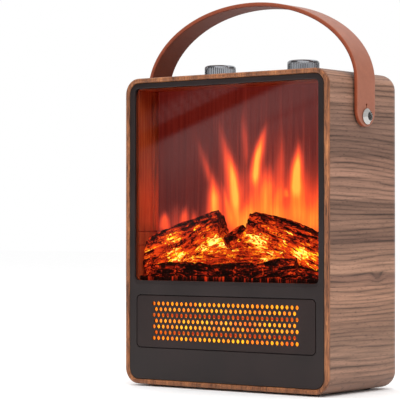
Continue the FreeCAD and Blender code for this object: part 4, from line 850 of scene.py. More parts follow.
def border_of(rows: int, columns: int) -> list[int]:
    """Number the points round the edge of a grid.

    Args:
        rows: how many rows of points.
        columns: how many points in a row.

    Returns:
        Point numbers, along the first row, up, back along the last row and down.
    """
    right = [r * columns + columns - 1 for r in range(1, rows)]
    far = [(rows - 1) * columns + i for i in range(columns - 2, -1, -1)]
    left = [r * columns for r in range(rows - 2, 0, -1)]
    return [*range(columns), *right, *far, *left]


def lathe(profile: list[tuple[float, float]], count: int, relief: object = None) -> tuple[np.ndarray, list]:
    """Turn a profile round Z.

    Args:
        profile: (radius, height) from the axis at the bottom to the axis at the top.
        count: points in a ring.
        relief: a function of angle, radius and height that gives the new radius.

    Returns:
        Points and faces of a closed form.
    """
    angle = np.linspace(0, 2 * np.pi, count, endpoint=False)
    inner = profile[1:-1]
    rings = []
    for radius, height in inner:
        r = np.full(count, radius) if relief is None else relief(angle, radius, height)
        rings.append(np.stack([r * np.cos(angle), r * np.sin(angle), np.full(count, height)], 1))
    points = np.concatenate([*rings, [[0, 0, profile[0][1]]], [[0, 0, profile[-1][1]]]])
    faces = strips(len(inner), count)
    last = (len(inner) - 1) * count
    low, high = len(points) - 2, len(points) - 1
    faces += [[low, (c + 1) % count, c] for c in range(count)]
    faces += [[high, last + c, last + (c + 1) % count] for c in range(count)]
    return points, faces


def arc(centre: tuple[float, float], radius: float, start: float, stop: float, count: int = 5) -> list:
    """Points on an arc, with angles in degrees.

    Args:
        centre: its centre.
        radius: its radius.
        start: the first angle.
        stop: the last angle.
        count: how many points.

    Returns:
        The points, in order.
    """
    return [
        (centre[0] + radius * math.cos(math.radians(a)), centre[1] + radius * math.sin(math.radians(a)))
        for a in np.linspace(start, stop, count)
    ]


@dataclass(frozen=True)
class Outline:
    """A rounded rectangle in a plate's own plane; a circle when its sides and radius agree."""

    across: float
    up: float
    half_across: float
    half_up: float
    radius: float
    steps: int = 6
    sill: float = 0.0

    def points(self, grow: float, depth: float) -> np.ndarray:
        """Points anticlockwise, grown outwards by grow, at depth; a sill drops the lower edge in front.

        Args:
            grow: how far to move outwards.
            depth: the points' third coordinate.

        Returns:
            N by 3 points.
        """
        radius = max(self.radius + grow, 0.01)
        wide, high = self.half_across + grow - radius, self.half_up + grow - radius
        found = []
        for sx, sy, start in ((1, 1, 0), (-1, 1, 90), (-1, -1, 180), (1, -1, 270)):
            turn = arc(
                (self.across + sx * wide, self.up + sy * high), radius, start, start + 90,
                self.steps + 1,
            )
            found += turn[:-1] if wide < 1e-6 else turn
        placed = np.array([[p[0], p[1], depth] for p in found])
        if self.sill and grow > 0:
            placed[placed[:, 1] < self.up, 1] -= self.sill * grow / abs(grow)
        return placed


def plate(
    outer: Outline, holes: list[Outline], front: float, back: float, bevel: float, rounds: int = 2,
) -> tuple[np.ndarray, list]:
    """A plate with holes and eased edges, from back to front on its third axis.

    Args:
        outer: its outside.
        holes: its openings.
        front: height of the front face.
        back: height of the back face.
        bevel: radius of the eased front edges.
        rounds: facets in that radius.

    Returns:
        Points and faces of a closed form.
    """
    sign = 1 if front > back else -1
    levels = []
    for k in range(rounds + 1):
        turn = math.pi / 2 * k / rounds
        levels.append((bevel * (1 - math.sin(turn)), front - sign * bevel * (1 - math.cos(turn))))
    levels.append((0.0, back))
    points, faces, starts = [], [], []
    total = 0
    for number, loop in enumerate([outer, *holes]):
        rings = [loop.points(-grow if number == 0 else grow, depth) for grow, depth in levels]
        count = len(rings[0])
        flip = (number == 0) == (sign > 0)
        for quad in strips(len(rings), count):
            faces.append([total + q for q in (reversed(quad) if flip else quad)])
        starts.append((total, count))
        points += rings
        total += len(rings) * count
    everything = np.concatenate(points)
    for ring in (0, len(levels) - 1):
        loops, index = [], []
        for start, count in starts:
            first = start + ring * count
            loops.append([Vector((*everything[i][:2], 0.0)) for i in range(first, first + count)])
            index += range(first, first + count)
        for triangle in tessellate_polygon(loops):
            a, b, c = (index[i] for i in triangle)
            side = (everything[b] - everything[a])[:2], (everything[c] - everything[a])[:2]
            area = side[0][0] * side[1][1] - side[0][1] * side[1][0]
            if abs(area) < 1e-9:
                continue
            upward = (ring == 0) == (sign > 0)
            faces.append([a, b, c] if (area > 0) == upward else [a, c, b])
    return everything, faces


def facing_front(points: np.ndarray) -> np.ndarray:
    """Lay a plate's own axes (across, up, out) on the frame's X, Z and Y."""
    return points[:, [0, 2, 1]]


def mirrored(faces: list) -> list:
    """Turn faces over, after the axes were swapped."""
    return [list(reversed(f)) for f in faces]


def carve(piece: bpy.types.Object, cutters: list[bpy.types.Object]) -> None:
    """Cut the cutters out of a piece and remove them.

    Args:
        piece: the piece, whose mesh is replaced.
        cutters: closed tools, with no body.
    """
    for cutter in cutters:
        cut = piece.modifiers.new("cut", "BOOLEAN")
        cut.operation, cut.object, cut.solver = "DIFFERENCE", cutter, "EXACT"
    graph = bpy.context.evaluated_depsgraph_get()
    made = bpy.data.meshes.new_from_object(piece.evaluated_get(graph), depsgraph=graph)
    piece.modifiers.clear()
    piece.data = made
    for cutter in cutters:
        bpy.data.objects.remove(cutter)


def tool(name: str, points: np.ndarray, faces: list) -> bpy.types.Object:
    """Make a cutter from points in mm.

    Args:
        name: its name.
        points: N by 3, in mm.
        faces: lists of point numbers.

    Returns:
        The cutter.
    """
    mesh = bpy.data.meshes.new(name)
    mesh.from_pydata((np.asarray(points, float) * MM).tolist(), [], faces)
    cutter = bpy.data.objects.new(name, mesh)
    bpy.context.scene.collection.objects.link(cutter)
    return cutter


# ---------------------------------------------------------------- sub-assemblies


@dataclass
class FrontFrame:
    """The trim round the box's front and the dark panel inside it, with its window and sill."""

    half_x: float = 120.0
    mid_z: float = 152.0
    half_z: float = 150.0
    corner: float = 15.5
    rim_width: float = 4.8
    rim_front: float = -63.5
    rim_back: float = -59.3
    rim_round: float = 2.3
    panel_front: float = -62.3
    panel_back: float = -59.3
    panel_half_x: float = 114.9
    panel_half_z: float = 144.9
    panel_gap: float = 0.3
    window: tuple[float, float] = (103.5, 292.0)
    window_half_x: float = 109.0
    window_corner: float = 4.5
    sill_drop: float = 3.2
    grille_z: tuple[float, float] = (37.7, 89.8)
    grille_half_x: float = 106.3
    grille_corner: float = 5.0
    ease: float = 0.45

    def build_rim(self, finish: bpy.types.Material) -> bpy.types.Object:
        """Build the rounded trim ring.

        Args:
            finish: its finish.

        Returns:
            The piece.
        """
        outer = Outline(0, self.mid_z, self.half_x, self.half_z, self.corner, 12)
        inner = Outline(
            0, self.mid_z, self.half_x - self.rim_width, self.half_z - self.rim_width,
            self.corner - self.rim_width, 12,
        )
        points, faces = plate(outer, [inner], -self.rim_front, -self.rim_back, self.rim_round, 5)
        points[:, 2] *= -1
        return solid(
            "trim_ring", facing_front(points), faces, finish, replaces=("front_rim",),
            flat=True,
        )

    def build_panel(self, finish: bpy.types.Material) -> bpy.types.Object:
        """Build the panel with its window, sloping sill and grille opening.

        Args:
            finish: its finish.

        Returns:
            The piece.
        """
        low, high = self.window
        outer = Outline(
            0, self.mid_z, self.panel_half_x, self.panel_half_z,
            self.corner - self.rim_width - self.panel_gap, 10,
        )
        window = Outline(
            0, (low + high) / 2, self.window_half_x, (high - low) / 2, self.window_corner, 6,
            sill=self.sill_drop,
        )
        low, high = self.grille_z
        grille = Outline(0, (low + high) / 2, self.grille_half_x, (high - low) / 2, self.grille_corner, 6)
        points, faces = plate(outer, [window, grille], -self.panel_front, -self.panel_back, self.ease, 3)
        points[:, 2] *= -1
        return solid(
            "panel_face", facing_front(points), faces, finish,
            replaces=("front_panel",), flat=True,
        )


@dataclass
class Grille:
    """The perforated steel plate in front of the heater core."""

    half_x: float = 105.5
    bottom: float = 38.5
    top: float = 89.0
    corner: float = 4.2
    front: float = -62.1
    back: float = -60.6
    hole_mid: float = 64.4
    hole_radius: float = 2.0
    hole_ease: float = 0.3
    flange: float = 3.0
    flange_front: float = -59.2
    flange_back: float = -58.0
    flange_ease: float = 0.2
    pitch: float = 5.65
    row_pitch: float = 5.6
    rows: int = 7
    long_row: int = 31

    def build(self, finish: bpy.types.Material) -> bpy.types.Object:
        """Build the plate with its staggered rows of punched holes.

        Args:
            finish: its finish.

        Returns:
            The plate.
        """
        outer = Outline(
            0, (self.bottom + self.top) / 2, self.half_x, (self.top - self.bottom) / 2, self.corner,
        )
        holes = []
        for row in range(self.rows):
            count = self.long_row - row % 2
            height = self.hole_mid + (row - (self.rows - 1) / 2) * self.row_pitch
            for i in range(count):
                across = (i - (count - 1) / 2) * self.pitch
                holes.append(
                    Outline(across, height, self.hole_radius, self.hole_radius, self.hole_radius, 3)
                )
        points, faces = plate(outer, holes, -self.front, -self.back, self.hole_ease, 2)
        points[:, 2] *= -1
        plate_piece = solid(
            "punched_grille", facing_front(points), faces, finish,
            replaces=("grille_plate",), flat=True,
        )
        ring = Outline(
            0, (self.bottom + self.top) / 2, self.half_x + self.flange,
            (self.top - self.bottom) / 2 + self.flange, self.corner,
        )
        inner = Outline(
            0, (self.bottom + self.top) / 2, self.half_x - self.flange,
            (self.top - self.bottom) / 2 - self.flange, self.corner,
        )
        points, faces = plate(ring, [inner], -self.flange_front, -self.flange_back, self.flange_ease, 1)
        points[:, 2] *= -1
        solid("grille_flange", facing_front(points), faces, finish, flat=True)
        return plate_piece


@dataclass(frozen=True)
class LogShape:
    """One moulded log: its axis from start to end, and how it is split and charred."""

    name: str
    start: tuple[float, float, float]
    end: tuple[float, float, float]
    radius: tuple[float, float]
    depth_ratio: float
    seed: int
    warmth: float = 0.5
    bend: float = 0.0
    split: float = 1.0
    long_count: int = 230
    round_count: int = 132


@dataclass
class FireBed:
    """The moulded logs and embers, whose glow gathers in the gaps between them."""

    floor: float = 103.6
    ceiling: float = 173.5
    front: float = -55.0
    back: float = -26.6
    half_x: float = 106.8
    # the hottest places: across, height, half width, half height, heat
    gaps: tuple[tuple[float, float, float, float, float], ...] = (
        (-20, 141, 11, 8, 0.52), (30, 141, 15, 9, 0.5), (83, 132, 11, 8, 0.48), (-72, 146, 9, 8, 0.36),
        (-64, 128, 11, 7, 0.38), (-36, 136, 9, 6, 0.3), (48, 131, 10, 6, 0.3), (34, 124, 8, 5, 0.34),
        (15, 150, 8, 5, 0.32), (62, 143, 9, 5, 0.26), (-90, 134, 7, 6, 0.22), (97, 128, 7, 8, 0.32),
    )
    logs: tuple[LogShape, ...] = (
        LogShape("log_left", (-107, -38, 128), (-17, -38, 154), (19.5, 17.5), 0.56, 11, 0.47, 1.5),
        LogShape("log_left_front", (-103, -45, 112), (-20, -42, 153), (12.5, 11.5), 0.6, 23, 0.5, -1.0),
        LogShape("log_right", (17, -38, 156), (107, -37, 131), (17.5, 15.5), 0.6, 37, 0.46, 2.5),
        LogShape("log_right_front", (34, -44, 146), (107, -46, 118), (10.5, 11.0), 0.62, 41, 0.5, 1.0),
        LogShape(
            "log_cut", (6, -32, 148), (-3.0, -49.5, 139), (9.0, 8.0), 1.0, 53, 0.46, 0.0, 0.5, 90, 120,
        ),
        LogShape(
            "log_low_left", (-95, -48, 112), (-24, -49, 111), (7.6, 8.6), 0.75, 67, 0.3, 0.8, 0.8, 170,
            90,
        ),
        LogShape(
            "log_low_middle", (-22, -50, 111), (26, -49, 113), (7.6, 8.4), 0.75, 71, 0.3, 0.5, 0.8, 130,
            90,
        ),
        LogShape(
            "log_low_right", (27, -50, 111), (78, -49, 118), (8.4, 9.6), 0.7, 83, 0.34, 0.5, 0.8, 130,
            90,
        ),
        LogShape(
            "log_low_end", (76, -47, 113), (103.5, -48, 108.5), (8.5, 7.5), 0.75, 97, 0.4, 0.4, 0.8, 90,
            80,
        ),
    )

    def hot_places(self, points: np.ndarray) -> np.ndarray:
        """Heat added by the gaps between the logs.

        Args:
            points: N by 3, in mm.

        Returns:
            N values of heat.
        """
        total = np.zeros(len(points))
        for x, z, wide, tall, heat in self.gaps:
            reach = ((points[:, 0] - x) / wide) ** 2 + ((points[:, 2] - z) / tall) ** 2
            total = np.maximum(total, heat * np.exp(-(reach**1.3)))
        return total

    def keep_inside(self, points: np.ndarray) -> np.ndarray:
        """Hold points inside the firebox.

        Args:
            points: N by 3, in mm.

        Returns:
            The points, held.
        """
        low = [-self.half_x, self.front, self.floor]
        high = [self.half_x, self.back, self.ceiling]
        return np.clip(points, low, high)

    def shape_log(self, log: LogShape) -> tuple[np.ndarray, list, dict]:
        """Model one log: a split round with ridged fibres, deep cracks and a ringed end grain.

        Args:
            log: its shape.

        Returns:
            Points, faces and the heat and grain attributes.
        """
        rows, columns = log.long_count, log.round_count
        start, end = np.array(log.start, float), np.array(log.end, float)
        axis = end - start
        length = np.linalg.norm(axis)
        axis /= length
        up = np.array([0.0, 0.0, 1.0]) if abs(axis[2]) < 0.9 else np.array([1.0, 0.0, 0.0])
        side = np.cross(axis, up)
        side /= np.linalg.norm(side)
        up = np.cross(side, axis)
        caps = 14
        along = np.concatenate([np.zeros(caps), np.linspace(0, 1, rows - 2 * caps), np.ones(caps)])
        shrink = np.concatenate([
            np.linspace(0.02, 1, caps, endpoint=False), np.ones(rows - 2 * caps),
            np.linspace(1, 0.02, caps + 1)[1:],
        ])
        angle = np.linspace(0, 2 * np.pi, columns, endpoint=False)
        t, a = np.repeat(along, columns), np.tile(angle, rows)
        reach = np.repeat(shrink, columns)
        radius = log.radius[0] + (log.radius[1] - log.radius[0]) * t
        turn = np.stack([np.cos(a), np.sin(a)], 1)
        s = t * length
        around = np.stack([turn[:, 0] * radius, turn[:, 1] * radius], 1)

        def field_at(long_size: float, round_size: float, seed: int, octaves: int = 3) -> np.ndarray:
            """Noise laid on the log's own skin."""
            place = np.stack([s / long_size, around[:, 0] / round_size, around[:, 1] / round_size], 1)
            return smooth_noise(place + log.seed * 3.7, log.seed + seed, octaves)

        broad = field_at(38, 9, 1, 2)
        cleft = 1 - np.abs(field_at(34, 5.5, 2, 3)) * 2.2
        fibre = 1 - np.abs(field_at(26, 2.1, 3, 3)) * 2.0
        chip = field_at(5, 3.2, 4, 3)
        deep = np.clip(cleft, 0, 1) ** 3
        lift = broad * 2.2 + np.clip(fibre, -0.4, 1) * 0.55 + chip * 0.5 - deep * 2.6 * log.split
        # split faces: flatten the round on three sides
        for flat in (0.4, 2.2, 4.4):
            facing = np.cos(a - flat - log.seed)
            lift -= np.clip(facing - 0.72, 0, 1) * radius * 0.55
        body = (reach >= 1).astype(float)
        r = radius * reach + lift * np.where(body > 0, 1.0, reach)
        ringing = np.sin(reach * radius * 2.6 + broad * 2) * 0.35 * (1 - body)
        push = (ringing + chip * 0.9 * (1 - body)) * np.where(t > 0.5, 1, -1)
        bend = np.sin(np.pi * t) * log.bend
        points = (
            start + np.outer(
                s + push, axis,
            ) + np.outer(r * np.cos(a) * log.depth_ratio, side) + np.outer(r * np.sin(a) + bend, up)
        )
        wobble = field_at(30, 14, 8, 2)
        points[:, 2] += wobble * 0.8
        points = self.keep_inside(points)
        facing_up = np.clip(np.sin(a) * up[2] + 0.2, 0, 1)
        crust = np.clip(0.2 - chip * 0.9, 0, 1)
        heat = log.warmth + deep * 0.12 - np.clip(fibre, 0, 1) * 0.05 + broad * 0.06
        heat = heat - facing_up**3 * 0.32 - crust * 0.22 + self.hot_places(points)
        heat -= (1 - body) * (0.12 + 0.16 * np.clip(np.sin(reach * radius * 2.6 + broad * 2), 0, 1))
        heat -= step(0.35, 0.8, field_at(60, 4.2, 6, 2)) * 0.34
        low = step(self.floor + 14, self.floor + 2, points[:, 2])
        heat -= low * 0.22
        grain = np.stack([s + push * 3, a * radius, reach * radius], 1)
        # close the seam in the grain with a slow turn instead of a jump
        grain[:, 1] = np.where(a > np.pi, (2 * np.pi - a) * radius, a * radius)
        faces = strips(rows, columns)
        ends = len(points)
        points = np.concatenate([points, [points[:columns].mean(0)], [points[-columns:].mean(0)]])
        faces += [[ends, (c + 1) % columns, c] for c in range(columns)]
        last = (rows - 1) * columns
        faces += [[ends + 1, last + c, last + (c + 1) % columns] for c in range(columns)]
        heat = np.concatenate([heat, [heat[:columns].mean()], [heat[-columns:].mean()]])
        grain = np.concatenate([grain, [grain[0]], [grain[-1]]])
        return points, mirrored(faces), {"ember_heat": np.clip(heat, 0, 1), "grain": grain}

    def shape_embers(self) -> tuple[np.ndarray, list, dict]:
        """Model the ember bed: a lumpy bank that climbs to the back, and glows between the logs.

        Returns:
            Points, faces and the heat and grain attributes.
        """
        across, deep = 260, 60
        x = np.linspace(-self.half_x, self.half_x, across)
        v = np.linspace(0, 1, deep)
        gx, gv = np.meshgrid(x, v)
        gx, gv = gx.ravel(), gv.ravel()
        y = self.front + 0.3 + (self.back - self.front - 0.6) * gv**0.7
        rise = 4 + 40 * gv**1.6 * (0.8 + 0.2 * np.cos(gx / 42))
        lumps = smooth_noise(np.stack([gx / 7, gv * 5, gv * 0], 1), 5, 3)
        z = self.floor + rise + lumps * (1.2 + 2.6 * gv)
        top = self.keep_inside(np.stack([gx, y, z], 1))
        heat = 0.42 + lumps * 0.2 + self.hot_places(top) * 0.9 - step(118, 106, top[:, 2]) * 0.3
        base = top.copy()
        base[:, 2] = self.floor - 0.1
        base[:, 1] = self.front + 0.3 + (self.back - self.front - 0.6) * gv
        faces = mirrored(strips(deep, across, wrap=False))
        count = across * deep
        faces += [[q + count for q in reversed(f)] for f in faces]
        border = border_of(deep, across)
        faces += [
            [border[i - 1], border[i], border[i] + count, border[i - 1] + count]
            for i in range(len(border))
        ]
        grain = np.concatenate([np.stack([gx, gv * 60, z], 1)] * 2)
        faces = mirrored(faces)
        return np.concatenate([top, base]), faces, {
            "ember_heat": np.clip(np.concatenate([heat, heat * 0]), 0, 1), "grain": grain,
        }

    def build(self, finish: bpy.types.Material) -> None:
        """Build the embers and every log.

        Args:
            finish: the finish of them all.
        """
        points, faces, marks = self.shape_embers()
        solid(
            "ember_bed", points, faces, finish, replaces=("log_bed",), crease=60,
            attributes=marks,
        )
        for log in self.logs:
            points, faces, marks = self.shape_log(log)
            solid(log.name, points, faces, finish, crease=70, attributes=marks)


@dataclass(frozen=True)
class Tongue:
    """One tongue of flame light: foot, tip, height of both, half width, curve and strength."""

    foot: float
    tip: float
    base: float
    top: float
    width: float
    strength: float
    curve: float = 0.0


@dataclass
class FlameScreen:
    """The frosted screen behind the logs, with the flame light on it."""

    half_x: float = 108.8
    bottom: float = 103.7
    top: float = 291.8
    front: float = -25.5
    back: float = -23.6
    across: int = 300
    up: int = 230
    tongues: tuple[Tongue, ...] = (
        Tongue(-98, -99, 150, 174, 5.5, 0.72), Tongue(-76, -73, 150, 180, 5, 0.6),
        Tongue(-63, -62, 150, 176, 4, 0.4), Tongue(-85, -84, 150, 184, 8, 0.22),
        Tongue(-22, -62, 160, 252, 5.5, 0.34, -4), Tongue(-36, -41, 150, 213, 7.5, 0.92, 1),
        Tongue(-12, -33, 155, 262, 7.5, 0.62, 3), Tongue(-13, -22, 158, 240, 5.5, 0.9, 3),
        Tongue(-16, -30, 150, 205, 5, 0.5), Tongue(2, -5, 210, 274, 4.5, 0.22),
        Tongue(6, 20, 160, 214, 8, 0.42), Tongue(14, 27, 186, 259, 6.0, 1.0, -4),
        Tongue(24, 25, 155, 222, 12, 0.62), Tongue(8, 4, 150, 186, 13, 0.6),
        Tongue(42, 41, 160, 262, 5.5, 0.3), Tongue(34, 46, 150, 212, 9, 0.5),
        Tongue(60, 64, 176, 241, 6.4, 1.05, -1), Tongue(60, 66, 150, 222, 13, 0.5),
        Tongue(50, 47, 182, 196, 3.5, 0.5), Tongue(74, 98, 150, 226, 8, 0.26, 4),
        Tongue(92, 99, 150, 196, 7, 0.2), Tongue(-4, -10, 150, 178, 12, 0.5),
        Tongue(40, 40, 150, 186, 15, 0.5), Tongue(80, 82, 150, 180, 15, 0.34),
    )

    def heat_at(self, x: np.ndarray, z: np.ndarray) -> np.ndarray:
        """Heat of the flame light at each point: soft edges, sharp tips, a wash near the logs.

        Args:
            x: N places across, in mm.
            z: N heights, in mm.

        Returns:
            N values of heat.
        """
        wander = smooth_noise(np.stack([x / 16, z / 34, x * 0], 1), 9, 2)
        glow = np.zeros(len(x))
        for tongue in self.tongues:
            rise = (z - tongue.base) / (tongue.top - tongue.base)
            inside = np.clip(rise, 0, 1)
            middle = tongue.foot + (tongue.tip - tongue.foot) * inside**1.25 + tongue.curve * np.sin(
                np.pi * inside
            )
            middle = middle + wander * 1.6 * (1 - inside)
            width = tongue.width * (1.05 - 0.72 * inside**1.6) + 1.0
            lobe = np.exp(-np.abs((x - middle) / width) ** 1.9)
            fade = step(-0.05, 0.3, rise) * step(1.08, 0.5, rise) ** 1.2
            glow += (tongue.strength * lobe * fade) ** 3
        glow = np.cbrt(glow)
        wash = step(232, 164, z) * step(-52, 4, x) * (0.38 + 0.08 * wander) + step(186, 150, z) * 0.14
        ground = 0.05 + 0.1 * step(-92, 0, x) * step(320, 200, z) + wander * 0.015
        return ground + np.maximum(wash, 0) + glow * np.clip(
            0.92 - wash, 0, 1,
        ) - 0.16 * step(186, 150, z) * step(0.5, 0.8, glow)

    def build(self, finish: bpy.types.Material) -> bpy.types.Object:
        """Build the screen, finely divided so that its light is smooth.

        Args:
            finish: its finish.

        Returns:
            The screen.
        """
        x = np.linspace(-self.half_x, self.half_x, self.across)
        z = np.linspace(self.bottom, self.top, self.up)
        gx, gz = (m.ravel() for m in np.meshgrid(x, z))
        front = np.stack([gx, np.full(len(gx), self.front), gz], 1)
        back = np.stack([gx, np.full(len(gx), self.back), gz], 1)
        count = len(front)
        sheet = strips(self.up, self.across, wrap=False)
        faces = sheet + [[q + count for q in reversed(f)] for f in sheet]
        border = border_of(self.up, self.across)
        faces += [
            [border[i], border[i - 1], border[i - 1] + count, border[i] + count]
            for i in range(len(border))
        ]
        heat = np.clip(self.heat_at(gx, gz), 0, 1)
        return solid(
            "flame_light_screen", np.concatenate([front, back]), faces, finish,
            replaces=("flame_screen",), attributes={"ember_heat": np.concatenate([heat, heat])},
        )


@dataclass
class FireboxBoards:
    """Thin stained boards that line the firebox: staves on the sides, a batten on each side and a ceiling.
    """

    wall: float = 108.9
    thick: float = 1.1
    front: float = -55.4
    back: float = -25.8
    floor: float = 103.6
    top: float = 291.9
    joints: tuple[float, ...] = (137.9, 151.3)
    batten: float = 7.5
    gap: float = 0.7

    def board(self, name: str, low: tuple, high: tuple, finish: bpy.types.Material) -> None:
        """Build one board with eased edges between two corners.

        Args:
            name: its name.
            low: its lowest corner.
            high: its highest corner.
            finish: its finish.
        """
        low, high = np.array(low, float), np.array(high, float)
        size = (high - low) / 2
        thin = int(np.argmin(size))
        order = [i for i in range(3) if i != thin]
        shape = Outline(0, 0, size[order[0]], size[order[1]], 0.5, 2)
        points, faces = plate(shape, [], size[thin], -size[thin], 0.35, 2)
        placed = np.zeros_like(points)
        placed[:, order[0]], placed[:, order[1]], placed[:, thin] = points.T
        if low[0] > 0 or thin == 2:
            placed[:, thin] *= -1
            faces = mirrored(faces)
        solid(name, placed + (low + high) / 2, faces, finish)

    def build(self, finish: bpy.types.Material) -> None:
        """Build both sides, the battens and the ceiling.

        Args:
            finish: the finish of every board.
        """
        heights = [self.floor, *self.joints, self.top]
        for side, sign in (("left", -1), ("right", 1)):
            outer, inner = sign * self.wall, sign * (self.wall - self.thick)
            for i, (low, high) in enumerate(zip(heights, heights[1:])):
                self.board(
                    f"board_{side}_{i}", (min(outer, inner), self.front, low + self.gap / 2),
                    (max(outer, inner), self.back, high - self.gap / 2), finish,
                )
            proud = sign * (self.wall - 2.2 * self.thick)
            self.board(
                f"board_{side}_batten",
                (min(inner, proud), self.back - self.batten, self.joints[-1] + 1),
                (max(inner, proud), self.back, self.top - 1.5), finish,
            )
        edge = self.wall - self.thick - 0.2
        self.board(
            "board_top", (-edge, self.front, self.top - self.thick), (edge, self.back, self.top - 0.1),
            finish,
        )


@dataclass
class Knob:
    """A chromed control knob: fluted skirt, polished bevel, spun face and a pointer."""

    side: str
    body: str
    x: float
    bottom: float = 303.0
    top: float = 315.6
    radius: float = 15.5
    flutes: int = 44
    flute_depth: float = 0.55
    bevel: float = 1.3

    def relief(self, angle: np.ndarray, radius: float, height: float) -> np.ndarray:
        """Cut the flutes into the skirt, fading out above and below.

        Args:
            angle: angles round the knob.
            radius: the plain radius.
            height: the height of the ring.

        Returns:
            The radius at each angle.
        """
        ring = np.full(len(angle), radius)
        if radius < self.radius - 0.3:
            return ring
        fade = min(1.0, (height - self.bottom - 0.9) / 0.8, (self.top - 2.2 - height) / 0.8)
        groove = np.abs(np.sin(self.flutes * angle / 2)) ** 0.8
        return ring - self.flute_depth * max(fade, 0.0) * (1 - groove)

    def build(self, chrome: bpy.types.Material, paint: bpy.types.Material) -> None:
        """Build the knob and its pointer.

        Args:
            chrome: the knob's finish.
            paint: the pointer's finish.
        """
        r, low, high = self.radius, self.bottom, self.top
        profile = [(0, low), (r - 1.2, low), (r - 0.7, low + 0.1), (r - 0.15, low + 0.5), (r, low + 0.9)]
        profile += [(r, z) for z in np.linspace(low + 1.2, high - 2.2, 9)]
        profile += [
            (r, high - 1.9), (r - 0.02, high - self.bevel - 0.1), (r - 0.12, high - self.bevel + 0.12),
        ]
        profile += [(r - self.bevel + 0.1, high - 0.12), (r - self.bevel - 0.15, high), (r - 2.2, high)]
        profile += [(r - 2.5, high - 0.08), (r - 2.7, high - 0.32), (r - 3.0, high - 0.36)]
        profile += [(radius, high - 0.36) for radius in (9.0, 5.0, 1.5)]
        profile += [(0, high - 0.36)]
        points, faces = lathe(profile, self.flutes * 8, self.relief)
        points[:, 0] += self.x
        solid(
            f"knob_cap_{self.side}", points, faces, chrome, self.body, (f"knob_{self.side}",),
            38,
        )
        shape = Outline(0, 0, 0.55, 3.2, 0.5, 4)
        points, faces = plate(shape, [], 0.22, -0.3, 0.15, 2)
        points += [self.x, -(r - 6.4), high - 0.36]
        solid(
            f"knob_mark_{self.side}", points, faces, paint, self.body,
            (f"pointer_{self.side}",),
        )


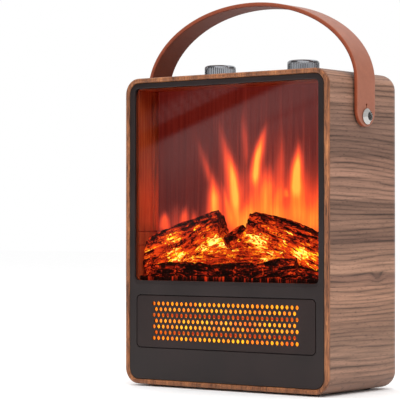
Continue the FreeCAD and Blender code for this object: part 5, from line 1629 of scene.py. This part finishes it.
@dataclass
class CarryStrap:
    """The leather carry strap: straight legs, an elliptical bow, round ends with button holes."""

    centre_y: float = -5.8
    half_width: float = 15.5
    mid_x: float = 123.4
    thick: float = 4.1
    spring: float = 292.0
    rise: float = 79.1
    end: float = 249.5
    button_z: float = 259.0
    button: float = 4.0
    slit_top: float = 269.8
    slit_hole: float = 1.35
    slit: float = 0.9

    def centreline(self) -> np.ndarray:
        """The strap's middle line, from the right end over the bow to the left end, as X and Z.

        Returns:
            N by 2 points.
        """
        legs = np.concatenate([
            self.end + (1 - np.cos(np.linspace(0.02, np.pi / 2, 14))) * self.half_width,
            np.linspace(self.end + self.half_width + 2, self.spring - 2, 12),
        ])
        right = [(self.mid_x, z) for z in legs]
        bow = [
            (self.mid_x * math.cos(a), self.spring + self.rise * math.sin(a))
            for a in np.linspace(0, math.pi, 121)
        ]
        left = [(-x, z) for x, z in reversed(right)]
        return np.array(right + bow + left)

    def normals(self, line: np.ndarray) -> np.ndarray:
        """Find the outward unit direction at each point of the middle line.

        Args:
            line: N by 2 points.

        Returns:
            N by 2 directions.
        """
        tangent = np.gradient(line, axis=0)
        normal = np.stack([tangent[:, 1], -tangent[:, 0]], 1)
        return normal / np.linalg.norm(normal, axis=1)[:, None]

    def section(self, half: float) -> list[tuple[float, float]]:
        """A cross-section, as (along Y, through the thickness), rounded at its edges.

        Args:
            half: half its width.

        Returns:
            The points of the loop.
        """
        ease = min(1.15, half * 0.6)
        flat, reach = half - ease, self.thick / 2
        loop = []
        for sy, sn, start in ((1, 1, 0), (-1, 1, 90), (-1, -1, 180), (1, -1, 270)):
            loop += arc((sy * flat, sn * (reach - ease)), ease, start, start + 90, 5)
            if start in (0, 180):
                loop += [(sy * flat * k, sn * reach) for k in (0.82, 0.6, 0.3, 0.0, -0.3, -0.6, -0.82)]
        return loop

    def side_of(self, points: np.ndarray) -> np.ndarray:
        """0 on the outer face, 0.5 on the edges and 1 on the inner face.

        Args:
            points: N by 3, in mm.

        Returns:
            N values.
        """
        line = self.centreline()
        normal = self.normals(line)
        flat = points[:, [0, 2]]
        nearest = np.argmin(((flat[:, None] - line[None]) ** 2).sum(2), axis=1)
        offset = ((flat - line[nearest]) * normal[nearest]).sum(1) / (self.thick / 2)
        return np.where(offset > 0.93, 0.0, np.where(offset < -0.93, 1.0, 0.5 - 0.12 * offset))

    def keyhole(self, side: int) -> tuple[np.ndarray, list]:
        """A cutter for the button hole, the slit over it and the slit's end hole.

        Args:
            side: -1 for the left end, 1 for the right.

        Returns:
            Points and faces of a closed form.
        """
        open_angle = math.degrees(math.asin(self.slit / 2 / self.button))
        loop = arc((0, self.button_z), self.button, 90 + open_angle, 450 - open_angle, 25)
        narrow = math.degrees(math.asin(self.slit / 2 / self.slit_hole))
        loop += arc((0, self.slit_top), self.slit_hole, -90 + narrow, 270 - narrow, 17)
        count = len(loop)
        points = [(side * (self.mid_x + d), self.centre_y + y, z) for d in (-6, 6) for y, z in loop]
        faces = strips(2, count) + [list(reversed(range(count))), list(range(count, 2 * count))]
        return np.array(points), faces if side > 0 else mirrored(faces)

    def build(self, finish: bpy.types.Material) -> bpy.types.Object:
        """Sweep the section along the centreline, then cut the button holes.

        Args:
            finish: its finish.

        Returns:
            The strap.
        """
        line = self.centreline()
        normal = self.normals(line)
        points = []
        for (x, z), (nx, nz) in zip(line, normal):
            into = max(0.0, self.end + self.half_width - z)
            half = math.sqrt(max(self.half_width**2 - into**2, 0.3))
            points += [(x + nx * n, self.centre_y + y, z + nz * n) for y, n in self.section(half)]
        columns = len(self.section(self.half_width))
        points = np.array(points)
        faces = strips(len(line), columns)
        faces += [list(reversed(range(columns))), list(range(len(points) - columns, len(points)))]
        strap = solid(
            "carry_strap", points, mirrored(faces), finish, "handle", ("handle_strap",),
            40,
        )
        carve(strap, [tool(f"keyhole_{side}", *self.keyhole(side)) for side in (-1, 1)])
        mesh = strap.data
        found = np.array([v.co for v in mesh.vertices]) / MM
        mesh.attributes.new("side", "FLOAT", "POINT").data.foreach_set(
            "value", self.side_of(found).astype(np.float32),
        )
        mesh.shade_smooth()
        mesh.set_sharp_from_angle(angle=math.radians(40))
        return strap


@dataclass
class Stud:
    """A polished screw stud: flange, cone and flat cap, on its spacer washer."""

    side: str
    y: float = -5.8
    z: float = 259.0
    seat: float = 125.65
    tip: float = 129.65
    flange: float = 7.6
    cap: float = 4.05

    def build(self, finish: bpy.types.Material) -> None:
        """Build the stud on its side.

        Args:
            finish: its finish.
        """
        tall = self.tip - self.seat
        profile = [
            (0, 0), (self.flange - 0.3, 0), (self.flange, 0.25), (self.flange, 0.75),
            (self.flange - 0.1, 1.0), (self.flange - 0.4, 1.22), (self.flange - 1.0, 1.5),
            (self.cap + 0.55, tall - 0.3), (self.cap + 0.25, tall - 0.08), (self.cap - 0.05, tall),
            (self.cap - 0.5, tall), (self.cap - 0.75, tall - 0.05), (self.cap - 0.9, tall - 0.2),
            (1.8, tall - 0.24), (0, tall - 0.24),
        ]
        points, faces = lathe(profile, 96)
        sign = 1 if self.side == "right" else -1
        placed = np.stack(
            [sign * (self.seat + points[:, 2]), self.y + points[:, 0], self.z + sign * points[:, 1]], 1,
        )
        solid(
            f"strap_stud_{self.side}", placed, faces, finish,
            replaces=(f"stud_{self.side}",), crease=24,
        )


@dataclass
class PanHead:
    """A pan-head screw with a cross recess, in the places given."""

    name: str
    node: str
    places: tuple[tuple[float, float], ...]
    seat: float
    head: float
    radius: float = 2.8
    facing: str = "back"

    def build(self, finish: bpy.types.Material) -> None:
        """Build one carved head and copy it to every place.

        Args:
            finish: the finish of every head.
        """
        r, h = self.radius, self.head
        profile = [
            (0, 0), (r - 0.15, 0), (r, 0.12), (r, h * 0.45), (r - 0.25, h * 0.72), (r - 0.8, h * 0.92),
            (r - 1.5, h), (0.6, h), (0, h),
        ]
        points, faces = lathe(profile, 40)
        head = tool(self.name + "_blank", points, faces)
        cutters = []
        for turn in (0, 1):
            wide, thin = (1.6, 0.32) if turn else (0.32, 1.6)
            shape = Outline(0, 0, wide, thin, 0.12, 2)
            cutters.append(tool(f"{self.name}_{turn}", *plate(shape, [], h + 0.5, h * 0.45, 0.01, 1)))
        carve(head, cutters)
        shape = np.array([v.co for v in head.data.vertices]) / MM
        polygons = [list(p.vertices) for p in head.data.polygons]
        bpy.data.objects.remove(head)
        merged, all_faces = [], []
        for across, up in self.places:
            all_faces += [[q + len(merged) * len(shape) for q in f] for f in polygons]
            if self.facing == "back":
                merged.append(np.stack([across - shape[:, 0], self.seat + shape[:, 2], up + shape[:, 1]], 1))
            else:
                merged.append(np.stack([across + shape[:, 0], up - shape[:, 1], self.seat - shape[:, 2]], 1))
        solid(
            self.name, np.concatenate(merged), all_faces, finish, replaces=(self.node,),
            crease=35,
        )


@dataclass
class Fixings:
    """The pan-head screws of the rear cover and the base, and the four rubber feet."""

    screw_x: float = 87.0
    screw_z: tuple[float, ...] = (25.0, 76.0, 127.0)
    rear_seat: float = 61.7
    base_seat: float = 3.8
    head: float = 1.6
    feet: tuple[tuple[float, float], ...] = ((-93, -48), (93, -48), (-93, 38), (93, 38))
    foot: float = 7.0
    base_screws: tuple[tuple[float, float], ...] = ((-73, -33), (73, -33), (-73, 33), (73, 33))

    def build_screws(self, finish: bpy.types.Material) -> None:
        """Build the cover's and the base's screws.

        Args:
            finish: the finish of every screw.
        """
        rear = tuple((x, z) for x in (-self.screw_x, self.screw_x) for z in self.screw_z)
        PanHead("rear_screw_heads", "rear_screws", rear, self.rear_seat, self.head).build(finish)
        PanHead(
            "base_screw_heads", "base_screws", self.base_screws, self.base_seat, self.head,
            facing="down",
        ).build(finish)

    def build_feet(self, finish: bpy.types.Material) -> None:
        """Build the four rubber feet with rounded treads.

        Args:
            finish: the finish of every foot.
        """
        r = self.foot
        profile = [
            (0, 0), (r - 2.2, 0), (r - 2.0, 0.35), (r - 1.6, 0.35), (r - 1.4, 0), (r - 0.8, 0),
            (r - 0.25, 0.2), (r, 0.7), (r, 1.9), (r - 0.1, 2.0), (0, 2.0),
        ]
        shape, polygons = lathe(profile, 48)
        merged = [shape + [x, y, 0] for x, y in self.feet]
        faces = [[q + k * len(shape) for q in f] for k in range(len(merged)) for f in polygons]
        solid("rubber_feet", np.concatenate(merged), faces, finish, replaces=("feet",))


@dataclass
class CarriedNodes:
    """The CAD nodes that stay as they are and take a finish."""

    finishes: dict[str, object]
    slots: dict[str, str]
    overrides: dict[str, str]

    def dress(self, nodes: dict[str, bpy.types.Object]) -> dict[str, bpy.types.Material]:
        """Give each node the finish of its material slot, or its own.

        Args:
            nodes: the frame's nodes by name.

        Returns:
            The materials by slot.
        """
        made: dict[str, bpy.types.Material] = {}
        for name, node in nodes.items():
            key = self.overrides.get(name, self.slots[name])
            if key not in made:
                made[key] = self.finishes[key].material()
            node.data.materials.clear()
            node.data.materials.append(made[key])
            LOG.info("dressed %s in %s", name, made[key].name)
        return made


@dataclass
class Studio:
    """Floor, soft lights, dark cards for the glass and the camera. Lengths here are in metres."""

    camera_at: tuple[float, float, float] = (1.0693, -1.4867, 0.1544)
    yaw: float = 37.595
    pitch: float = 0.869
    lens: float = 168.69
    world: float = 1.0
    backdrop: str = "#ffffff"
    glass_y: float = -58.8
    gap_height: float = 275.0
    slant: float = 0.33
    veil: float = 0.45

    def set_world(self) -> None:
        """Plain white surroundings, even all round."""
        world = bpy.data.worlds.new("studio")
        bpy.context.scene.world = world
        world.use_nodes = True
        background = world.node_tree.nodes["Background"]
        background.inputs["Color"].default_value = linear(self.backdrop)
        background.inputs["Strength"].default_value = self.world
        bpy.context.scene.view_settings.view_transform = "Standard"

    def card(self, name: str, points: list, faces: list, shine: np.ndarray) -> None:
        """A card that only gloss sees, such as a black flag or the soft streaks of a window.

        Args:
            name: its name.
            points: its points.
            faces: its faces.
            shine: its brightness at each point.
        """
        mesh = bpy.data.meshes.new(name)
        mesh.from_pydata(points, [], faces)
        mesh.attributes.new("shine", "FLOAT", "POINT").data.foreach_set(
            "value", np.asarray(shine, np.float32),
        )
        card = bpy.data.objects.new(name, mesh)
        bpy.context.scene.collection.objects.link(card)
        g = Graph(name)
        strength = g.add("Attribute", attribute_name="shine").outputs["Fac"]
        mesh.materials.append(g.finish(g.add("Emission", {"Color": "#ffffff", "Strength": strength})))
        for ray in ("camera", "diffuse", "volume_scatter", "shadow"):
            setattr(card, f"visible_{ray}", False)

    def flag(self, name: str, centre: tuple, size: tuple, shine: float) -> None:
        """A flat upright card that faces the heater.

        Args:
            name: its name.
            centre: its middle.
            size: its width and height.
            shine: its brightness.
        """
        look = Vector((0, 0, centre[2])) - Vector(centre)
        turn = Matrix.Translation(centre) @ look.to_track_quat("Z", "Y").to_matrix().to_4x4()
        corners = [
            turn @ Vector((x * size[0] / 2, y * size[1] / 2, 0))
            for x, y in ((-1, -1), (1, -1), (1, 1), (-1, 1))
        ]
        self.card(name, corners, [[0, 1, 2, 3]], np.full(4, shine))

    def streaks(self) -> None:
        """The soft slanting streaks that the glass mirrors, on a card where the glass sends the eye."""
        count = 70
        x, z = (m.ravel() for m in np.meshgrid(np.linspace(-135, 135, count), np.linspace(75, 320, count)))
        eye = np.array(self.camera_at)
        glass = np.stack([x, np.full(len(x), self.glass_y), z], 1) * MM
        ray = glass - eye
        ray[:, 1] *= -1
        height = z - (self.gap_height + self.slant * x)
        upper = step(5, 11, height) * step(32, 18, height) * (0.75 + 0.25 * np.cos(height * 1.3))
        veil = step(-5, -13, height) * (0.04 + 0.46 * step(-125, -75, height) + 0.5 * step(-75, -25, height))
        notch = 1 - 0.3 * np.exp(-(((height + 37) / 3.5) ** 2)) * step(20, 60, x)
        shine = (0.62 * upper + veil * notch) * (0.35 + 0.65 * step(-105, -60, x)) * self.veil
        self.card("window_streaks", (glass + ray * 1.1).tolist(), strips(count, count, wrap=False), shine)

    def light(
        self, name: str, at: tuple, aim: tuple, size: float, power: float, colour: str = "#ffffff",
    ) -> None:
        """A soft square lamp at a point, aimed at another.

        Args:
            name: its name.
            at: where it hangs.
            aim: the point that it faces.
            size: its side.
            power: its power in watts.
            colour: its colour.
        """
        lamp = bpy.data.lights.new(name, "AREA")
        lamp.shape, lamp.size, lamp.energy, lamp.color = "SQUARE", size, power, linear(colour)[:3]
        thing = bpy.data.objects.new(name, lamp)
        bpy.context.scene.collection.objects.link(thing)
        thing.location = at
        thing.rotation_mode = "QUATERNION"
        thing.rotation_quaternion = (Vector(aim) - Vector(at)).to_track_quat("-Z", "Y")
        thing.visible_camera = thing.visible_transmission = thing.visible_glossy = False

    def floor(self) -> None:
        """A wide, pale, matt floor."""
        mesh = bpy.data.meshes.new("floor")
        mesh.from_pydata([(-8, -8, 0), (8, -8, 0), (8, 8, 0), (-8, 8, 0)], [], [[0, 1, 2, 3]])
        floor = bpy.data.objects.new("floor", mesh)
        bpy.context.scene.collection.objects.link(floor)
        g = Graph("floor_paper")
        mottle = g.add("TexNoise", {"Vector": stretched(g, 40, 40), "Scale": 1.0, "Detail": 2.0})
        paper = g.add("ValToRGB", {0: mottle}, ramp=[(0.3, "#fbfbfb"), (0.7, "#ffffff")])
        mesh.materials.append(
            g.finish(
                g.add("BsdfPrincipled", {
                    "Base Color": paper, "Roughness": 0.9, "Specular IOR Level": 0.0,
                })
            )
        )

    def camera(self) -> None:
        """The camera at its height beside the heater, looking very slightly up."""
        data = bpy.data.cameras.new("camera")
        data.lens, data.sensor_width, data.clip_end = self.lens, 36.0, 50.0
        camera = bpy.data.objects.new("camera", data)
        bpy.context.scene.collection.objects.link(camera)
        camera.location = self.camera_at
        camera.rotation_euler = (math.radians(90 + self.pitch), 0, math.radians(self.yaw))
        bpy.context.scene.camera = camera

    def build(self) -> None:
        """Set up the whole studio."""
        self.camera()
        self.set_world()
        self.floor()
        self.light("key", (1.6, -1.5, 2.2), (0, 0, 0.15), 1.6, 30)
        self.light("top", (-0.6, 0.4, 2.4), (0, 0, 0.15), 1.8, 22)
        for x in (-0.085, 0.085):
            self.light(
                "ember_glow", (x * 0.9, -0.04, 0.178), (x * 1.3, -0.041, 0.20), 0.03, 0.008, "#ff7a3a",
            )
        self.flag("black_flag", (-1.55, -2.05, 0.6), (3.2, 3.0), 0.01)
        self.flag("side_flag", (1.25, 1.45, 0.5), (2.0, 2.0), 0.12)
        self.streaks()


def finishes() -> dict[str, object]:
    """Every finish by the record's material slot, with a few for single nodes.

    Returns:
        The finishes by slot.
    """
    return {
        "walnut_film": WalnutFilm(),
        "oak_trim": StainedWood("stained_oak_trim_film", "#bd7a4a", "#8a5433", "#452616", "Z", 1.3, 16),
        # moulded ABS, spark-eroded: an even charcoal that breaks reflections up; its warm red tint is
        # painted glow of the fire, laid evenly over the whole panel
        "charcoal_plastic": Plastic(
            "spark_eroded_charcoal_abs", "#2a1f1e", "#1f1716", 0.42, 0.9, 0.05, 1.5, 0.35,
        ),
        # nitrile rubber: near black and dull
        "black_rubber": Plastic("nitrile_rubber", "#1b1b1c", "#111112", 0.75, 1.4, 0.08, 1.52, 0.3),
        "window_glass": SmokedGlass(),
        # heat-resisting black enamel on punched steel: dark and half matt; its warm red-brown tint is
        # painted glow of the heater core behind it
        "grille_steel": Plastic(
            "heat_resisting_black_enamel", "#2a1a18", "#1d110f", 0.42, 1.1, 0.04, 1.5, 0.35,
        ),
        "zinc_steel": Metal("zinc_plated_steel", "#c9cccd", "#9ea3a6", 0.32),
        "liner_board": StainedWood(
            "stained_liner_board", "#e0743e", "#c85428", "#8c3a18", "Z", 2.0, 60, 0.6, 0.8,
        ),
        "log_resin": GlowingResin(),
        "flame_film": FlameFilm(),
        "sheet_steel": Metal("galvanised_sheet_steel", "#b9bdc0", "#8f9599", 0.4, Working.CAST),
        # glass-epoxy laminate under green solder mask: glossy and slightly woven
        "circuit_board": Woven("green_solder_mask_laminate", "#1d6a3a", "#14502b", 1.2, 0.0, 0.35),
        # cast epoxy over each lamp, lit amber
        "led_lens": GlowPart("lit_epoxy_lens", "#f4e6c8", "#ff8a2a", "#ffb04a", "#ffe0a0", 1.4, 8),
        "mirror_strip": Metal("polished_stainless_strip", "#dcdedf", "#c2c6c8", 0.08, Working.BRUSHED),
        "bronze": Metal("oil_filled_bronze", "#b98a52", "#946a3a", 0.45, Working.CAST),
        # painted glow: the fins and the ceramic are no lamps; their emission stands in for the orange light
        # seen through the grille
        "fin_aluminium": GlowPart(
            "glowing_corrugated_aluminium", "#c8b8a8", "#e4580c", "#f68a10", "#ffbc1c", 1.0, 15,
        ),
        "ptc_ceramic": GlowPart(
            "glowing_barium_titanate_ceramic", "#5a4238", "#5c1208", "#8c2410", "#b03a16", 0.6, 20,
        ),
        # glass-filled PBT: stiff, cream and matt
        "frame_resin": Plastic("glass_filled_pbt", "#cfc6b4", "#b5ab97", 0.6, 1.2, 0.06),
        "impeller_aluminium": Metal("rolled_aluminium_blades", "#d4d6d8", "#b2b6b9", 0.35, Working.BRUSHED),
        "bright_steel": Metal("ground_bright_steel", "#d0d3d5", "#acb1b4", 0.22, Working.BRUSHED),
        "lamination": Metal("stacked_electrical_steel", "#8b9094", "#5d6266", 0.45, Working.BRUSHED, "Z"),
        "copper_coil": Woven("enamelled_copper_winding", "#c8703a", "#8a4420", 0.7, 1.0, 0.3),
        # phenolic: black, hard and a little shiny
        "control_plastic": Plastic("black_phenolic", "#242425", "#161617", 0.35, 1.0, 0.03, 1.6),
        "chrome": Metal("bright_chrome_plate", "#b4b5b9", "#9a9ca1", 0.1, Working.SPUN, "Y", 0.006),
        "pointer_paint": Plastic("filled_red_enamel_paint", "#b8382e", "#96281f", 0.35, 0.6, 0.02),
        "tan_leather": TanLeather(),
        "stud_steel": Metal("polished_nickel_plate", "#b9b6b2", "#9d9a96", 0.12, Working.SPUN, "Y", 0.008),
        "cover_plastic": Plastic("textured_black_abs", "#2a2b2c", "#1d1e1f", 0.55, 1.1, 0.09),
        # unfilled nylon: waxy off-white
        "terminal_plastic": Plastic("natural_nylon", "#e2ddcf", "#cbc5b4", 0.45, 1.4, 0.04, 1.53),
        "loom_sleeve": Woven("braided_glass_fibre_sleeve", "#d8cdb8", "#a89a82", 1.1),
        # painted glow: the heater core's frame and electrode bars are no lamps; their emission stands in for
        # the light seen through the grille
        "glow_frame": GlowPart("glow_lit_pbt_frame", "#cfc6b4", "#b8480c", "#d8680e", "#f08c14", 0.9, 15),
        "glow_bars": GlowPart("glowing_electrode_bars", "#7a3a28", "#a02a0c", "#cc440e", "#ee7416", 1.0, 12),
    }


def main() -> None:
    """Build the heater's looks round the frame, piece by piece."""
    logging.basicConfig(level=logging.INFO, format="%(message)s", stream=sys.stdout, force=True)
    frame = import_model()
    Studio().build()
    LOG.info("studio ready")
    nodes = frame["nodes"]
    slots = {
        name: (node.data.materials[0].name if node.data.materials else "sheet_steel").split(".")[0]
        for name, node in nodes.items()
    }
    # painted glow: the heater core's electrodes, ceramic stones and frame take glowing finishes, though they
    # are no lamps
    overrides = {"ptc_electrodes": "glow_bars", "ptc_stones": "glow_bars", "ptc_frame": "glow_frame"}
    made = CarriedNodes(finishes(), slots, overrides).dress(nodes)
    nodes["window_glass"].visible_shadow = False
    front = FrontFrame()
    front.build_rim(made["oak_trim"])
    front.build_panel(made["charcoal_plastic"])
    LOG.info("front frame built")
    Grille().build(made["grille_steel"])
    LOG.info("grille built")
    FireBed().build(made["log_resin"])
    LOG.info("logs and embers built")
    FlameScreen().build(made["flame_film"])
    FireboxBoards().build(made["liner_board"])
    LOG.info("firebox built")
    for side, body, x in (("left", "thermostat_knob", -50.0), ("right", "mode_knob", 50.0)):
        Knob(side, body, x).build(made["chrome"], made["pointer_paint"])
        Stud(side).build(made["stud_steel"])
    LOG.info("knobs and studs built")
    CarryStrap().build(made["tan_leather"])
    LOG.info("strap built")
    fixings = Fixings()
    fixings.build_screws(made["zinc_steel"])
    fixings.build_feet(made["black_rubber"])
    LOG.info("screws and feet built")


if __name__ == "__main__":
    main()
